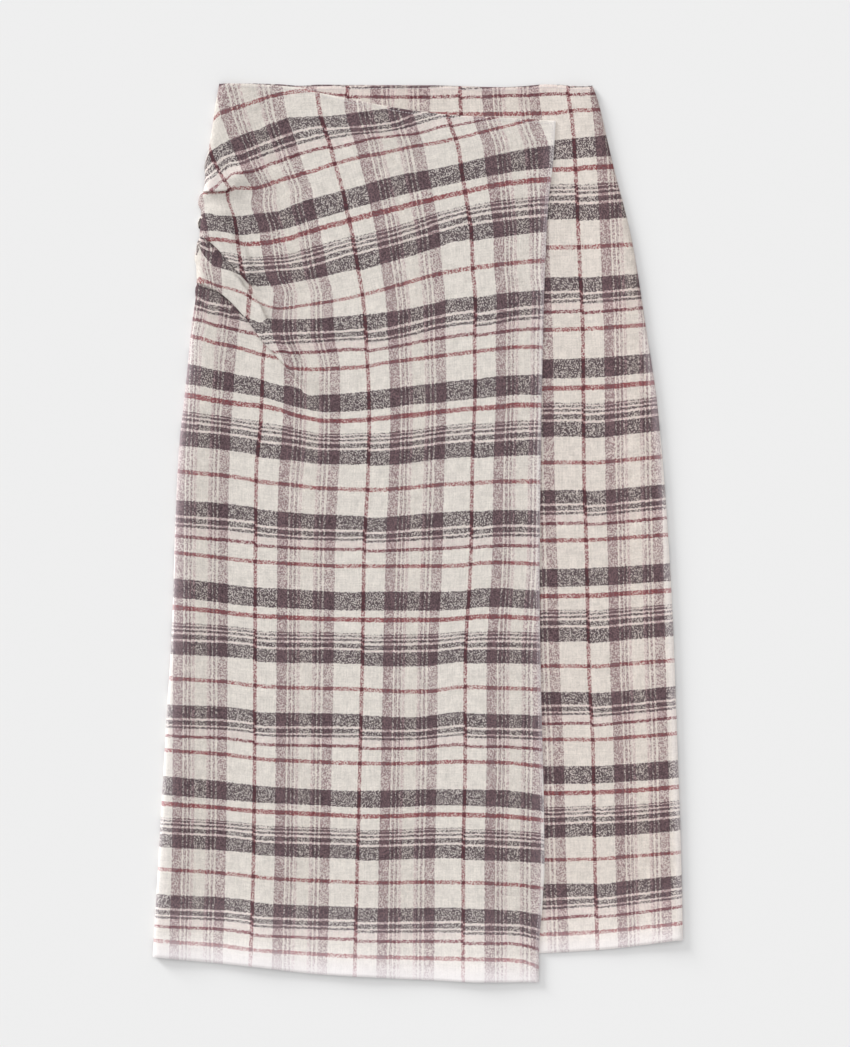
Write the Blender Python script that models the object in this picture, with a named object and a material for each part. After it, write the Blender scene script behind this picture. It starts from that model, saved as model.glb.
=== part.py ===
"""A plaid midi wrap skirt laid flat, as three cut pieces of cloth that lie on each other.

The back panel lies on the surface. The under front is sewn to its right side and the over front to its
left side, where three side pleats are laid in the over front at the hip. Lengths are in millimetres up to
the function that writes the meshes: "across" runs from the middle of the skirt to the right, "down" from
the waist line to the hem, and "up" from the surface that the skirt lies on.
"""
from collections import namedtuple

import bpy
import numpy as np

MILLIMETRE = 0.001

# Cloth and layers
WALL = 1.0
GAP = 0.3
BACK_LEVEL = WALL / 2
UNDER_LEVEL = BACK_LEVEL + WALL + GAP
OVER_LEVEL = UNDER_LEVEL + WALL + GAP

# Length, with the back's waist edge a little above the fronts
LENGTH = 898.3
BACK_PEEK = 1.0
WAIST_Y = (LENGTH - BACK_PEEK) / 2

# Rolled sides: the seam's height, the width of the roll and its crest above the cloth's level
SEAM_HEIGHT = 2.9
ROLL_WIDTH = 6.0
CREST_HEIGHT = 5.4
CREST_FADE = 55.0

# Pleats: how far past a pleat's hidden cloth the layer above it stays lifted, how soon the lift fades above
# and at the side, and the share of a short run between two pleats that stays unlifted
LIFT_REACH = 3.0
LIFT_FADE = 15.0
SIDE_FADE = 10.0
LEAST_RUN = 0.4

# Bends: the tightest one, how much it is drawn out along a slanting edge, the length that a faded pleat's rows
# take up, the turn below which a bend counts as flat and the step over which an edge's slope is read
LEAST_BEND = 0.95
BEND_STRETCH = 1.15
FADED_LENGTH = 22.0
FLAT_TURN = 0.02
SLOPE_STEP = 2.0

# Rounds in which a row's place down the cloth and its place across settle on each other
SETTLE_ROUNDS = 4
PLEAT_ROUNDS = 12

# Steps of the meshes: columns as shares of a panel's width, and rows between the pleats and down to the hem
BEND_STEPS = 4
ROLL_ANGLES = (90, 60, 30)
PLEAT_COLUMNS = (0, 0.02, 0.04, 0.06, 0.085, 0.11, 0.135, 0.15, 0.165, 0.18, 0.2,
                 0.23, 0.26, 0.285, 0.305, 0.325, 0.35, 0.39, 0.44)
OVER_COLUMNS = PLEAT_COLUMNS + (0.52, 0.62, 0.72, 0.82, 0.92, 1)
UNDER_COLUMNS = (0, 0.05, 0.13, 0.22, 0.32, 0.42, 0.52, 0.62, 0.72, 0.80, 0.87, 0.93, 0.97, 1)
BACK_COLUMNS = (0, 0.12, 0.25, 0.38, 0.5, 0.62, 0.75, 0.88, 1)
OVER_ROWS = (4, 2, 2, 15)
LIFT_ROWS = 4
HEM_SPREAD = 1.5
EDGE_ROW = 1.5
PANEL_ROWS = 26

Side = namedtuple("Side", "down left right")
SIDES = [
    Side(0, -199.0, 174.0),
    Side(16, -202.0, 180.0),
    Side(56, -208.0, 189.5),
    Side(96, -215.5, 199.0),
    Side(114, -222.0, 204.0),
    Side(156, -221.5, 214.0),
    Side(196, -222.0, 221.0),
    Side(236, -226.0, 227.0),
    Side(316, -234.0, 239.0),
    Side(356, -238.5, 243.0),
    Side(416, -242.0, 248.0),
    Side(536, -246.0, 255.0),
    Side(656, -253.0, 259.5),
    Side(796, -261.0, 264.0),
    Side(873, -265.5, 265.5),
]

Edge = namedtuple("Edge", "across down")
OVER_WAIST = [
    Edge(-199, 0.6),
    Edge(-150, 1.6),
    Edge(-120, 3.4),
    Edge(-97, 9.0),
    Edge(-48, 19.0),
    Edge(-5, 26.5),
    Edge(40, 31.5),
    Edge(98, 34.4),
    Edge(138, 37.0),
]
UNDER_WAIST = [Edge(-170, 3.0), Edge(-60, 1.2), Edge(60, 1.0), Edge(174, 1.6)]
BACK_WAIST = [Edge(-199, 0.2), Edge(-185, -BACK_PEEK), Edge(150, -BACK_PEEK), Edge(174, 0.6)]
OVER_HEM = [
    Edge(-265, 873.0),
    Edge(-223, 877.0),
    Edge(-163, 883.0),
    Edge(-103, 890.0),
    Edge(-43, 893.5),
    Edge(17, 896.5),
    Edge(60, LENGTH),
    Edge(125, LENGTH),
]
UNDER_HEM = [Edge(-183, 872.0), Edge(0, 872.0), Edge(122, 869.5), Edge(182, 866.0), Edge(265, 855.5)]
BACK_HEM = [Edge(-265, 872.0), Edge(-225, 870.0), Edge(0, 868.0), Edge(122, 865.0), Edge(230, 856.5), Edge(265, 855.0)]

Line = namedtuple("Line", "down across")
WRAP_EDGE = [
    Line(30, 138.0),
    Line(76, 135.0),
    Line(121, 130.0),
    Line(206, 126.0),
    Line(346, 123.0),
    Line(500, 121.3),
    Line(592, 122.5),
    Line(746, 126.0),
    Line(860, 121.5),
    Line(898, 120.5),
]
UNDER_EDGE = [Line(0, -163.0), Line(450, -175.0), Line(880, -183.0)]

# A pleat's edge from the side seam inwards: how deep it is laid, how far the cloth turns back in degrees, and
# how far it steps down in all
Pleat = namedtuple("Pleat", "across down depth turn step")
PLEATS = [
    [
        Pleat(-218, 108, 12, 180, 3.8),
        Pleat(-200, 106, 7, 180, 3.8),
        Pleat(-188, 104, 2.5, 150, 3.8),
        Pleat(-176, 102, 0, 80, 2.8),
        Pleat(-156, 102, 0, 0, 0),
        Pleat(130, 108, 0, 0, 0),
    ],
    [
        Pleat(-221, 151, 15.5, 180, 3.8),
        Pleat(-206, 158.5, 13.5, 180, 3.8),
        Pleat(-184, 183, 10, 180, 3.8),
        Pleat(-168, 200.5, 6, 178, 3.8),
        Pleat(-154, 214.5, 3.5, 150, 3.8),
        Pleat(-138, 228, 1, 84, 3.0),
        Pleat(-120, 240, 0, 30, 1.2),
        Pleat(-98, 246, 0, 0, 0),
        Pleat(130, 262, 0, 0, 0),
    ],
    [
        Pleat(-221, 198, 11, 180, 3.8),
        Pleat(-199, 208, 12, 180, 3.8),
        Pleat(-172, 234, 11, 180, 3.8),
        Pleat(-134, 280, 7, 180, 3.8),
        Pleat(-116, 300, 3, 150, 3.8),
        Pleat(-96, 322, 0, 80, 3.2),
        Pleat(-53, 356, 0, 20, 1.0),
        Pleat(-15, 370, 0, 0, 0),
        Pleat(130, 385, 0, 0, 0),
    ],
]

# Soft waves in the fronts, from where they start down to the hem
Wave = namedtuple("Wave", "start across_start across_hem width height")
WAVES = [
    Wave(430, -125, -160, 34, 1.5),
    Wave(380, -40, -58, 40, 1.1),
    Wave(470, 62, 66, 30, 1.5),
    Wave(300, 176, 206, 26, 1.3),
]


def smooth(amount):
    """Eases from 0 to 1."""
    amount = np.clip(amount, 0, 1)
    return amount * amount * (3 - 2 * amount)


def read(table, key, column, at):
    """Reads a table's column between its rows along a smooth curve, and holds its end values beyond them."""
    keys = np.array([getattr(row, key) for row in table], float)
    values = np.array([getattr(row, column) for row in table], float)
    steps = np.diff(values) / np.diff(keys)
    slopes = np.zeros(len(keys))
    same_way = steps[:-1] * steps[1:] > 0
    slopes[1:-1][same_way] = 2 / (1 / steps[:-1][same_way] + 1 / steps[1:][same_way])
    slopes[0], slopes[-1] = steps[0], steps[-1]
    at = np.clip(at, keys[0], keys[-1])
    row = np.clip(np.searchsorted(keys, at, side="right") - 1, 0, len(keys) - 2)
    width = keys[row + 1] - keys[row]
    part = (at - keys[row]) / width
    rise = part * part * (3 - 2 * part)
    lead = part * (1 - part) ** 2 * width
    trail = part * part * (1 - part) * width
    return values[row] * (1 - rise) + values[row + 1] * rise + slopes[row] * lead - slopes[row + 1] * trail


def wave_height(across, down):
    """The soft waves of the fronts."""
    height = 0
    for wave in WAVES:
        along = (down - wave.start) / (LENGTH - wave.start)
        line = wave.across_start + (wave.across_hem - wave.across_start) * along
        height = height + wave.height * smooth(along) * np.exp(-(((across - line) / wave.width) ** 2))
    return height


def front_level(across, down):
    """Height of the under front's middle surface: the layers' level, the waves and the rise to the right side."""
    to_crest = read(SIDES, "down", "right", down) - WALL / 2 - ROLL_WIDTH - across
    rise = (CREST_HEIGHT - UNDER_LEVEL) * (1 - smooth(to_crest / CREST_FADE))
    return UNDER_LEVEL + wave_height(across, down) + rise


def over_level(across, down):
    """Height of the over front's middle surface, with its own rise to the left side."""
    from_crest = across - read(SIDES, "down", "left", down) - WALL / 2 - ROLL_WIDTH
    rise = (CREST_HEIGHT - OVER_LEVEL) * (1 - smooth(from_crest / CREST_FADE))
    return front_level(across, down) + (OVER_LEVEL - UNDER_LEVEL) + rise


def pleat_at(pleat, across):
    """A pleat's place and form at one distance across, with how slantwise its edge runs there."""
    down, depth, turn, step = (read(pleat, "across", name, across) for name in Pleat._fields[1:])
    slopes = []
    for column in ("down", "depth"):
        ahead, behind = (read(pleat, "across", column, across + side) for side in (SLOPE_STEP, -SLOPE_STEP))
        slopes.append((ahead - behind) / (2 * SLOPE_STEP))
    outer = np.arctan(slopes[0])
    inner = np.arctan(slopes[0] - slopes[1] / np.cos(outer))
    slant = np.cos(np.maximum(np.abs(outer), np.abs(inner))) / BEND_STRETCH
    return down, depth, np.radians(turn), step, slant


def pleat_section(depth, turn, step):
    """Runs through an S-fold: forwards over its outer bend, back under it, and forwards again."""
    hidden = max(depth - 2 * LEAST_BEND, 0)
    bend = max((step - hidden * np.sin(turn)) / max(2 * (1 - np.cos(turn)), FLAT_TURN), LEAST_BEND * turn / np.pi)
    angles = turn * np.arange(BEND_STEPS + 1) / BEND_STEPS
    outer = np.array([bend * np.sin(angles), -bend * (1 - np.cos(angles))])
    start = outer[:, -1] + hidden * np.array([np.cos(turn), -np.sin(turn)])
    back = angles[::-1]
    inner = np.array([bend * (np.sin(turn) - np.sin(back)), -bend * (np.cos(back) - np.cos(turn))])
    section = np.hstack([outer, start[:, None] + inner])
    section[0] -= bend * np.sin(min(turn, np.pi / 2))
    section[1] -= section[1, -1]
    opened = 1 - smooth(turn / np.pi)
    section[0] += FADED_LENGTH * opened * np.linspace(-0.5, 0.5, section.shape[1])
    return section


def side_retreat(down):
    """How far the left side's inner layers lie in from the outline, beside each pleat."""
    retreat = 0
    for pleat in PLEATS:
        edge, depth, turn, step, slant = pleat_at(pleat, pleat[0].across)
        above = 1 - smooth((edge - down - depth - LIFT_REACH) / LIFT_FADE)
        below = 1 - smooth((down - edge) / SIDE_FADE)
        retreat = retreat + step * np.minimum(above, below)
    return retreat


def left_side(down):
    """The left side seam."""
    return read(SIDES, "down", "left", down) + side_retreat(down) + WALL / 2


def over_across(share, turn, down):
    """A column's distance across: its share of the face's width, and how far the roll has turned down there."""
    crest = left_side(down) + ROLL_WIDTH
    return crest + share * (read(WRAP_EDGE, "down", "across", down) - crest) - ROLL_WIDTH * np.sin(turn)


def over_column(share, turn):
    """One column of the over front, from its waist edge over the three pleats to the hem."""
    downs, lifts = [], []
    top = hem = 0
    for _ in range(SETTLE_ROUNDS):
        top = read(OVER_WAIST, "across", "down", over_across(share, turn, top))
        hem = read(OVER_HEM, "across", "down", over_across(share, turn, hem))
    last, shown = top, []
    for pleat, rows in zip(PLEATS, OVER_ROWS):
        edge = pleat[0].down
        for _ in range(PLEAT_ROUNDS):
            edge = pleat_at(pleat, over_across(share, turn, edge))[0]
        edge, depth, turn_back, step, slant = pleat_at(pleat, over_across(share, turn, edge))
        forward, height = pleat_section(depth, turn_back, step)
        section = edge + forward / slant
        reach = section[0] - depth / slant - LIFT_REACH
        start = shown[-1] if shown else last
        foot = max(reach - LIFT_FADE, start + LEAST_RUN * (reach - start))
        run = start + (foot - start) * np.arange(rows) / rows
        run = np.concatenate([shown[:-1], run, np.linspace(foot, reach, LIFT_ROWS)])
        lift = height[0] * (1 - smooth((reach - run) / (reach - foot)))
        downs += [run, section[:-1]]
        lifts += [lift, height[:-1]]
        last = section[-1]
        shown = [last, max(edge, last) + EDGE_ROW]
    run = shown[-1] + (hem - shown[-1]) * np.linspace(0, 1, OVER_ROWS[-1] + 1) ** HEM_SPREAD
    run = np.append(last, run)
    downs = np.concatenate(downs + [run])
    lifts = np.concatenate(lifts + [np.zeros(len(run))])
    across = over_across(share, turn, downs)
    foot = SEAM_HEIGHT + GAP / 2
    height = foot + (over_level(across, downs) - foot + lifts) * np.cos(turn)
    return np.stack([across - lifts * np.sin(turn), downs, height], axis=1)


def over_front():
    columns = [over_column(0, np.radians(angle)) for angle in ROLL_ANGLES]
    columns += [over_column(share, 0) for share in OVER_COLUMNS]
    return np.stack(columns, axis=1)


def panel(left, right, waist, hem, columns, level):
    """A plain panel's grid between its two sides, with rows from waist to hem."""
    grid = np.zeros((PANEL_ROWS + 1, len(columns), 3))
    for row in range(PANEL_ROWS + 1):
        for number, share in enumerate(columns):
            down = LENGTH * row / PANEL_ROWS
            for _ in range(SETTLE_ROUNDS):
                across = left(down) + share * (right(down) - left(down))
                top = read(waist, "across", "down", across)
                down = top + (read(hem, "across", "down", across) - top) * row / PANEL_ROWS
            grid[row, number] = across, down, level(across, down)
    return grid


def right_side(down):
    """The right side seam."""
    return read(SIDES, "down", "right", down) - WALL / 2


def under_front():
    """From its free edge under the over front to the roll on the right side."""
    flat = panel(
        lambda down: read(UNDER_EDGE, "down", "across", down),
        lambda down: right_side(down) - ROLL_WIDTH,
        UNDER_WAIST, UNDER_HEM, UNDER_COLUMNS, front_level,
    )
    foot = SEAM_HEIGHT + GAP / 2
    roll = []
    for angle in reversed(ROLL_ANGLES):
        turn = np.radians(angle)
        column = flat[:, -1].copy()
        column[:, 0] += ROLL_WIDTH * np.sin(turn)
        column[:, 2] = foot + (column[:, 2] - foot) * np.cos(turn)
        roll.append(column)
    return np.concatenate([flat, np.stack(roll, axis=1)], axis=1)


def back():
    """Flat on the surface between two sides that turn up to meet the fronts."""
    roll = SEAM_HEIGHT - GAP / 2 - BACK_LEVEL
    flat = panel(
        lambda down: left_side(down) + roll,
        lambda down: right_side(down) - roll,
        BACK_WAIST, BACK_HEM, BACK_COLUMNS, lambda across, down: BACK_LEVEL,
    )
    left, right = [], []
    for angle in ROLL_ANGLES:
        turn = np.radians(angle)
        sideways = roll * np.sin(turn)
        upwards = roll * (1 - np.cos(turn))
        left.append(flat[:, 0] + np.array([-sideways, 0, upwards]))
        right.insert(0, flat[:, -1] + np.array([sideways, 0, upwards]))
    return np.concatenate([np.stack(left, axis=1), flat, np.stack(right, axis=1)], axis=1)


def normals(grid):
    """Directions straight out of the cloth's face at each point of a grid."""
    down_the_cloth = np.gradient(grid, axis=0)
    across_the_cloth = np.gradient(grid, axis=1, edge_order=2)
    out = np.cross(across_the_cloth, down_the_cloth)
    return out / np.linalg.norm(out, axis=2, keepdims=True)


def cloth(name, grid, colour):
    """Makes a panel's wall as one closed mesh with its face, its reverse and its four edges.

    Both sides of the wall are split along the same diagonals, the short ones, so that they stay a wall apart.
    """
    grid = grid * np.array([1, -1, 1]) + np.array([0, WAIST_Y, 0])
    out = -normals(grid) * WALL / 2
    rows, columns = grid.shape[:2]
    points = np.concatenate([(grid + out).reshape(-1, 3), (grid - out).reshape(-1, 3)]) * MILLIMETRE
    face = np.arange(rows * columns).reshape(rows, columns)
    reverse = face + rows * columns
    faces = []
    for row in range(rows - 1):
        for column in range(columns - 1):
            corner = [(row, column), (row + 1, column), (row + 1, column + 1), (row, column + 1)]
            diagonals = [np.linalg.norm(grid[corner[end]] - grid[corner[end + 2]]) for end in (0, 1)]
            first = int(diagonals[1] < diagonals[0])
            corner = corner[first:] + corner[:first]
            for triangle in (corner[:3], [corner[2], corner[3], corner[0]]):
                faces.append([face[place] for place in triangle])
                faces.append([reverse[place] for place in reversed(triangle)])
    rim = [(0, column) for column in range(columns - 1, 0, -1)]
    rim += [(row, 0) for row in range(rows - 1)]
    rim += [(rows - 1, column) for column in range(columns - 1)]
    rim += [(row, columns - 1) for row in range(rows - 1, 0, -1)]
    for here, ahead in zip(rim, rim[1:] + rim[:1]):
        faces.append([face[ahead], face[here], reverse[here], reverse[ahead]])
    mesh = bpy.data.meshes.new(name)
    mesh.from_pydata(points.tolist(), [], [[int(point) for point in corners] for corners in faces])
    mesh.shade_smooth()
    piece = bpy.data.objects.new(name, mesh)
    bpy.context.collection.objects.link(piece)
    material = bpy.data.materials.new(name + "_cloth")
    material.use_nodes = True
    finish = material.node_tree.nodes["Principled BSDF"]
    finish.inputs["Base Color"].default_value = (*colour, 1)
    finish.inputs["Roughness"].default_value = 0.9
    finish.inputs["Metallic"].default_value = 0
    mesh.materials.append(material)
    return piece


for item in list(bpy.data.objects):
    bpy.data.objects.remove(item)

cloth("back_panel", back(), (0.50, 0.45, 0.43))
cloth("front_under_panel", under_front(), (0.62, 0.56, 0.53))
cloth("front_over_panel", over_front(), (0.70, 0.65, 0.61))
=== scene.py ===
"""The looks of a plaid midi wrap skirt laid flat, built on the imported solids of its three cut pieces.

The pieces follow each other as they are laid down: the back panel, the under front, the over front with its
side pleats, then the stitching and the surface that the skirt lies on. "Across" and "down" are millimetres
from the middle of the waist line. The marks of the plaid are millimetres from the view's own top left corner.
"""
from collections import namedtuple

import bpy
import numpy as np
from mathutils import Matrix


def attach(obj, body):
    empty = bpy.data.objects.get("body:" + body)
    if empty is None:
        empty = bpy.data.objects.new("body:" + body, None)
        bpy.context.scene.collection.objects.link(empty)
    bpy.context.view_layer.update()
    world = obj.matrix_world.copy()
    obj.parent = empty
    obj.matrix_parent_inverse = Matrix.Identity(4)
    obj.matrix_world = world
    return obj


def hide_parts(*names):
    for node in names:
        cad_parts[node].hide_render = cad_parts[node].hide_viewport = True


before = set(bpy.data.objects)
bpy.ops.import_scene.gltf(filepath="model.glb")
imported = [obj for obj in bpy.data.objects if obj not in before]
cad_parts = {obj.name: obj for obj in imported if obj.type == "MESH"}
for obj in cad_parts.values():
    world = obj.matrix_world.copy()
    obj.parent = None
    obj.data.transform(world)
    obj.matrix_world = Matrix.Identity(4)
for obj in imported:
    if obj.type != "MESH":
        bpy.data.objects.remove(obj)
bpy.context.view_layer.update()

# The back panel: one widening piece of brushed plaid twill, cut straight at the waist and slightly bowed at
# the hem. It lies flat on the surface, and its two long sides turn up to meet the fronts at the side seams.

MILLIMETRE = 0.001
WALL = 1.0
GAP = 0.3
BACK_LEVEL = WALL / 2
LENGTH = 898.3
BACK_PEEK = 1.0
WAIST_Y = (LENGTH - BACK_PEEK) / 2
SEAM_HEIGHT = 2.9
ROLL_ANGLES = (90, 75, 60, 45, 30, 15)
SETTLE_ROUNDS = 4
EDGE_ROUND = 0.35
SHARP_ANGLE = np.radians(60)


def table(kind, *rows):
    """A table whose columns have the names of its kind."""
    return [kind(*row) for row in rows]


Side = namedtuple("Side", "down left right")
SIDES = table(
    Side,
    (0, -199.0, 174.0), (16, -202.0, 180.0), (56, -208.0, 189.5), (96, -215.5, 199.0), (114, -222.0, 204.0),
    (156, -221.5, 214.0), (196, -222.0, 221.0), (236, -226.0, 227.0), (316, -234.0, 239.0),
    (356, -238.5, 243.0), (416, -242.0, 248.0), (536, -246.0, 255.0), (656, -253.0, 259.5),
    (796, -261.0, 264.0), (873, -265.5, 265.5),
)

Edge = namedtuple("Edge", "across down")
BACK_WAIST = table(
    Edge,
    (-199, -0.2), (-190, -BACK_PEEK), (-165, -0.9), (-140, -0.2), (-118, 1.4), (-100, 0.2), (-60, 0.6),
    (16, 0.8), (44, 1.7), (84, 2.7), (104, 1.8), (128, 0), (144, 0.4), (156, 1.6), (168, 1.8), (174, 1.2),
)
BACK_HEM = table(Edge, (-265, 872.0), (-225, 870.0), (0, 868.0), (122, 865.0), (230, 856.5), (265, 855.0))

# The side pleats of the over front, from the side seam inwards. The seams' lower layers lie further in there.
Pleat = namedtuple("Pleat", "across down depth turn step")
PLEATS = [
    table(
        Pleat,
        (-218, 107.6, 12, 180, 3.8), (-200, 107.2, 7, 180, 3.8), (-188, 106, 2.5, 150, 3.8),
        (-176, 103, 0, 80, 2.8), (-156, 102, 0, 0, 0), (130, 108, 0, 0, 0),
    ),
    table(
        Pleat,
        (-221, 149.5, 15.5, 180, 3.8), (-206, 159.5, 13.5, 180, 3.8), (-184, 183, 10, 180, 3.8),
        (-172, 196.5, 7, 180, 3.8), (-168, 201, 3.2, 155, 2.8), (-163, 206, 0.8, 90, 1.4),
        (-157, 211, 0, 30, 0.4), (-146, 218, 0, 0, 0), (130, 262, 0, 0, 0),
    ),
    table(
        Pleat,
        (-221, 198, 11, 180, 3.8), (-199, 208, 12, 180, 3.8), (-172, 234, 11, 180, 3.8),
        (-155, 257.5, 10, 180, 3.8), (-134, 280, 7, 180, 3.8), (-118, 299, 2.5, 140, 3.4),
        (-108, 311, 0.5, 80, 2.2), (-94, 325, 0, 30, 1.0), (-60, 350, 0, 0, 0), (130, 385, 0, 0, 0),
    ),
]
# How far the left side draws in between the pleats' soft knuckles
Scallop = namedtuple("Scallop", "down inset")
SCALLOPS = table(
    Scallop,
    (60, 0), (66, 0.2), (71, -0.6), (76, -1.3), (86, -1.1), (91, -0.5), (96, 0.2), (101, 2.7), (105, 4.6),
    (107, 3.3), (109, 2.2), (111, 1.0), (116, 2.1), (119, 2.0), (123, 2.7), (126, 4.0), (129, 4.6),
    (131, 2.4), (136, -2.0), (141, -3.1), (145, -0.7), (147, 1.6), (151, 1.2), (156, 0.6), (166, -0.5),
    (176, -2.1), (186, -1.7), (196, -0.8), (201, -2.6), (207, -0.5), (216, 0.8), (240, 0),
)
BEND_STRETCH = 1.15
SLOPE_STEP = 2.0
LIFT_REACH = 3.0
LIFT_FADE = 15.0
SIDE_FADE = 10.0


def smooth(amount):
    """Eases from 0 to 1."""
    amount = np.clip(amount, 0, 1)
    return amount * amount * (3 - 2 * amount)


def follow(keys, values, at):
    """Reads a smooth curve through its points, and holds its end values beyond them."""
    keys, values = np.array(keys, float), np.array(values, float)
    steps = np.diff(values) / np.diff(keys)
    slopes = np.zeros(len(keys))
    same_way = steps[:-1] * steps[1:] > 0
    slopes[1:-1][same_way] = 2 / (1 / steps[:-1][same_way] + 1 / steps[1:][same_way])
    slopes[0], slopes[-1] = steps[0], steps[-1]
    at = np.clip(at, keys[0], keys[-1])
    row = np.clip(np.searchsorted(keys, at, side="right") - 1, 0, len(keys) - 2)
    width = keys[row + 1] - keys[row]
    part = (at - keys[row]) / width
    rise = part * part * (3 - 2 * part)
    lead = part * (1 - part) ** 2 * width
    trail = part * part * (1 - part) * width
    return values[row] * (1 - rise) + values[row + 1] * rise + slopes[row] * lead - slopes[row + 1] * trail


def read(rows, key, column, at):
    """Reads a table's column along a smooth curve."""
    return follow([getattr(row, key) for row in rows], [getattr(row, column) for row in rows], at)


def pleat_at(pleat, across):
    """A pleat's place and form at one distance across, with how slantwise its edge runs there."""
    down, depth, turn, step = (read(pleat, "across", name, across) for name in Pleat._fields[1:])
    slopes = []
    for column in ("down", "depth"):
        ahead, behind = (read(pleat, "across", column, across + side) for side in (SLOPE_STEP, -SLOPE_STEP))
        slopes.append((ahead - behind) / (2 * SLOPE_STEP))
    outer = np.arctan(slopes[0])
    inner = np.arctan(slopes[0] - slopes[1] / np.cos(outer))
    slant = np.cos(np.maximum(np.abs(outer), np.abs(inner))) / BEND_STRETCH
    return down, depth, np.radians(turn), step, slant


def side_retreat(down):
    """How far the left side's inner layers lie in from the outline, beside each pleat."""
    retreat = 0
    for pleat in PLEATS:
        edge, depth, turn, step, slant = pleat_at(pleat, pleat[0].across)
        above = 1 - smooth((edge - down - depth - LIFT_REACH) / LIFT_FADE)
        below = 1 - smooth((down - edge) / SIDE_FADE)
        retreat = retreat + step * np.minimum(above, below)
    return retreat


def left_side(down):
    """The line that the back's and the over front's middle surfaces keep to on the left."""
    outline = read(SIDES, "down", "left", down) + read(SCALLOPS, "down", "inset", down)
    return outline + side_retreat(down) + WALL / 2


def right_side(down):
    """The line that the back's and the under front's middle surfaces keep to on the right."""
    return read(SIDES, "down", "right", down) - WALL / 2


def panel(left, right, waist, hem, shares, rows, level):
    """A plain panel's middle surface between its two sides, with even rows from waist to hem."""
    along = np.linspace(0, 1, rows + 1)[:, None] + np.zeros(len(shares))
    down = LENGTH * along
    for _ in range(SETTLE_ROUNDS):
        across = left(down) + shares * (right(down) - left(down))
        top = read(waist, "across", "down", across)
        down = top + (read(hem, "across", "down", across) - top) * along
    return np.stack([across, down, level(across, down)], axis=2)


def lay_cloth(name, grid, weave, painted_highlight, material):
    """Makes a panel as one closed piece from its middle surface, with softly rounded raw edges.

    The weave's own coordinates, in repeats of the plaid, are its UV map. The next argument is painted
    highlight: how much lighter each point is drawn where the cloth's edges and hem catch the light.
    """
    grid = (grid * np.array([1, -1, 1]) + np.array([0, WAIST_Y, 0])) * MILLIMETRE
    out = np.cross(np.gradient(grid, axis=0), np.gradient(grid, axis=1, edge_order=2))
    out *= WALL / 2 * MILLIMETRE / np.linalg.norm(out, axis=2, keepdims=True)
    rows, columns = grid.shape[:2]
    face = np.arange(rows * columns).reshape(rows, columns)
    reverse = face + rows * columns
    rim = [(0, column) for column in range(columns - 1, 0, -1)]
    rim += [(row, 0) for row in range(rows - 1)]
    rim += [(rows - 1, column) for column in range(columns - 1)]
    rim += [(row, columns - 1) for row in range(rows - 1, 0, -1)]
    inner = [(min(max(row, 1), rows - 2), min(max(column, 1), columns - 2)) for row, column in rim]
    edge = np.array([grid[place] for place in rim])
    outwards = edge - np.array([grid[place] for place in inner])
    outwards /= np.linalg.norm(outwards, axis=1, keepdims=True)
    middle = edge + outwards * EDGE_ROUND * WALL * MILLIMETRE
    points = np.concatenate([(grid + out).reshape(-1, 3), (grid - out).reshape(-1, 3), middle])
    quads = [
        np.stack([side[:-1, :-1], side[1:, :-1], side[1:, 1:], side[:-1, 1:]], axis=2).reshape(-1, 4)
        for side in (face, reverse)
    ]
    quads[1] = quads[1][:, ::-1]
    here = np.arange(len(rim))
    ahead = np.roll(here, -1)
    front = np.array([face[place] for place in rim])
    rear = np.array([reverse[place] for place in rim])
    between = here + 2 * rows * columns
    quads.append(np.stack([front[ahead], front[here], between[here], between[ahead]], axis=1))
    quads.append(np.stack([between[ahead], between[here], rear[here], rear[ahead]], axis=1))
    mesh = bpy.data.meshes.new(name)
    mesh.from_pydata(points.tolist(), [], np.concatenate(quads).tolist())
    corner = np.zeros(len(mesh.loops), int)
    mesh.loops.foreach_get("vertex_index", corner)
    places = [weave.reshape(-1, 2)] * 2 + [np.array([weave[place] for place in rim])]
    mesh.uv_layers.new(name="weave").data.foreach_set("uv", np.concatenate(places)[corner].ravel())
    # Painted highlight, carried to the shader as a point attribute
    edge_highlight = [painted_highlight.ravel()] * 2 + [np.array([painted_highlight[place] for place in rim])]
    mesh.attributes.new("painted_highlight", "FLOAT", "POINT").data.foreach_set("value", np.concatenate(edge_highlight))
    mesh.shade_smooth()
    mesh.set_sharp_from_angle(angle=SHARP_ANGLE)
    mesh.materials.append(material)
    piece = bpy.data.objects.new(name, mesh)
    bpy.context.collection.objects.link(piece)
    return piece


# The plaid as it repeats. Each yarn band starts so many millimetres into its repeat: lengthwise bands from
# the middle of the red stripe, crosswise bands from the top of the widest dark band. "cover" is a lengthwise
# band's hold against the crosswise yarn, or how much of the face the crosswise yarn takes.
LENGTHWISE_REPEAT = 106.7
CROSSWISE_REPEAT = 197.5
Band = namedtuple("Band", "start yarn cover")
LENGTHWISE = table(
    Band,
    (0, 'claret', 0.25), (1.9, 'ivory', 0), (21.6, 'mauve', 0.29), (31.7, 'oat', -0.05),
    (33.4, 'mauve', 0.15), (36.3, 'oat', -0.05), (37.6, 'mauve', 0.15), (40.2, 'oat', -0.05),
    (41.6, 'rose', 0), (44.2, 'oat', 0), (56.8, 'rose', 0), (59.2, 'mauve', 0.03), (61.4, 'oat', -0.05),
    (63.2, 'mauve', 0.15), (65.6, 'oat', -0.05), (67.7, 'mauve', 0.15), (78.2, 'ivory', 0),
    (104.8, 'claret', 0.25),
)
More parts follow.
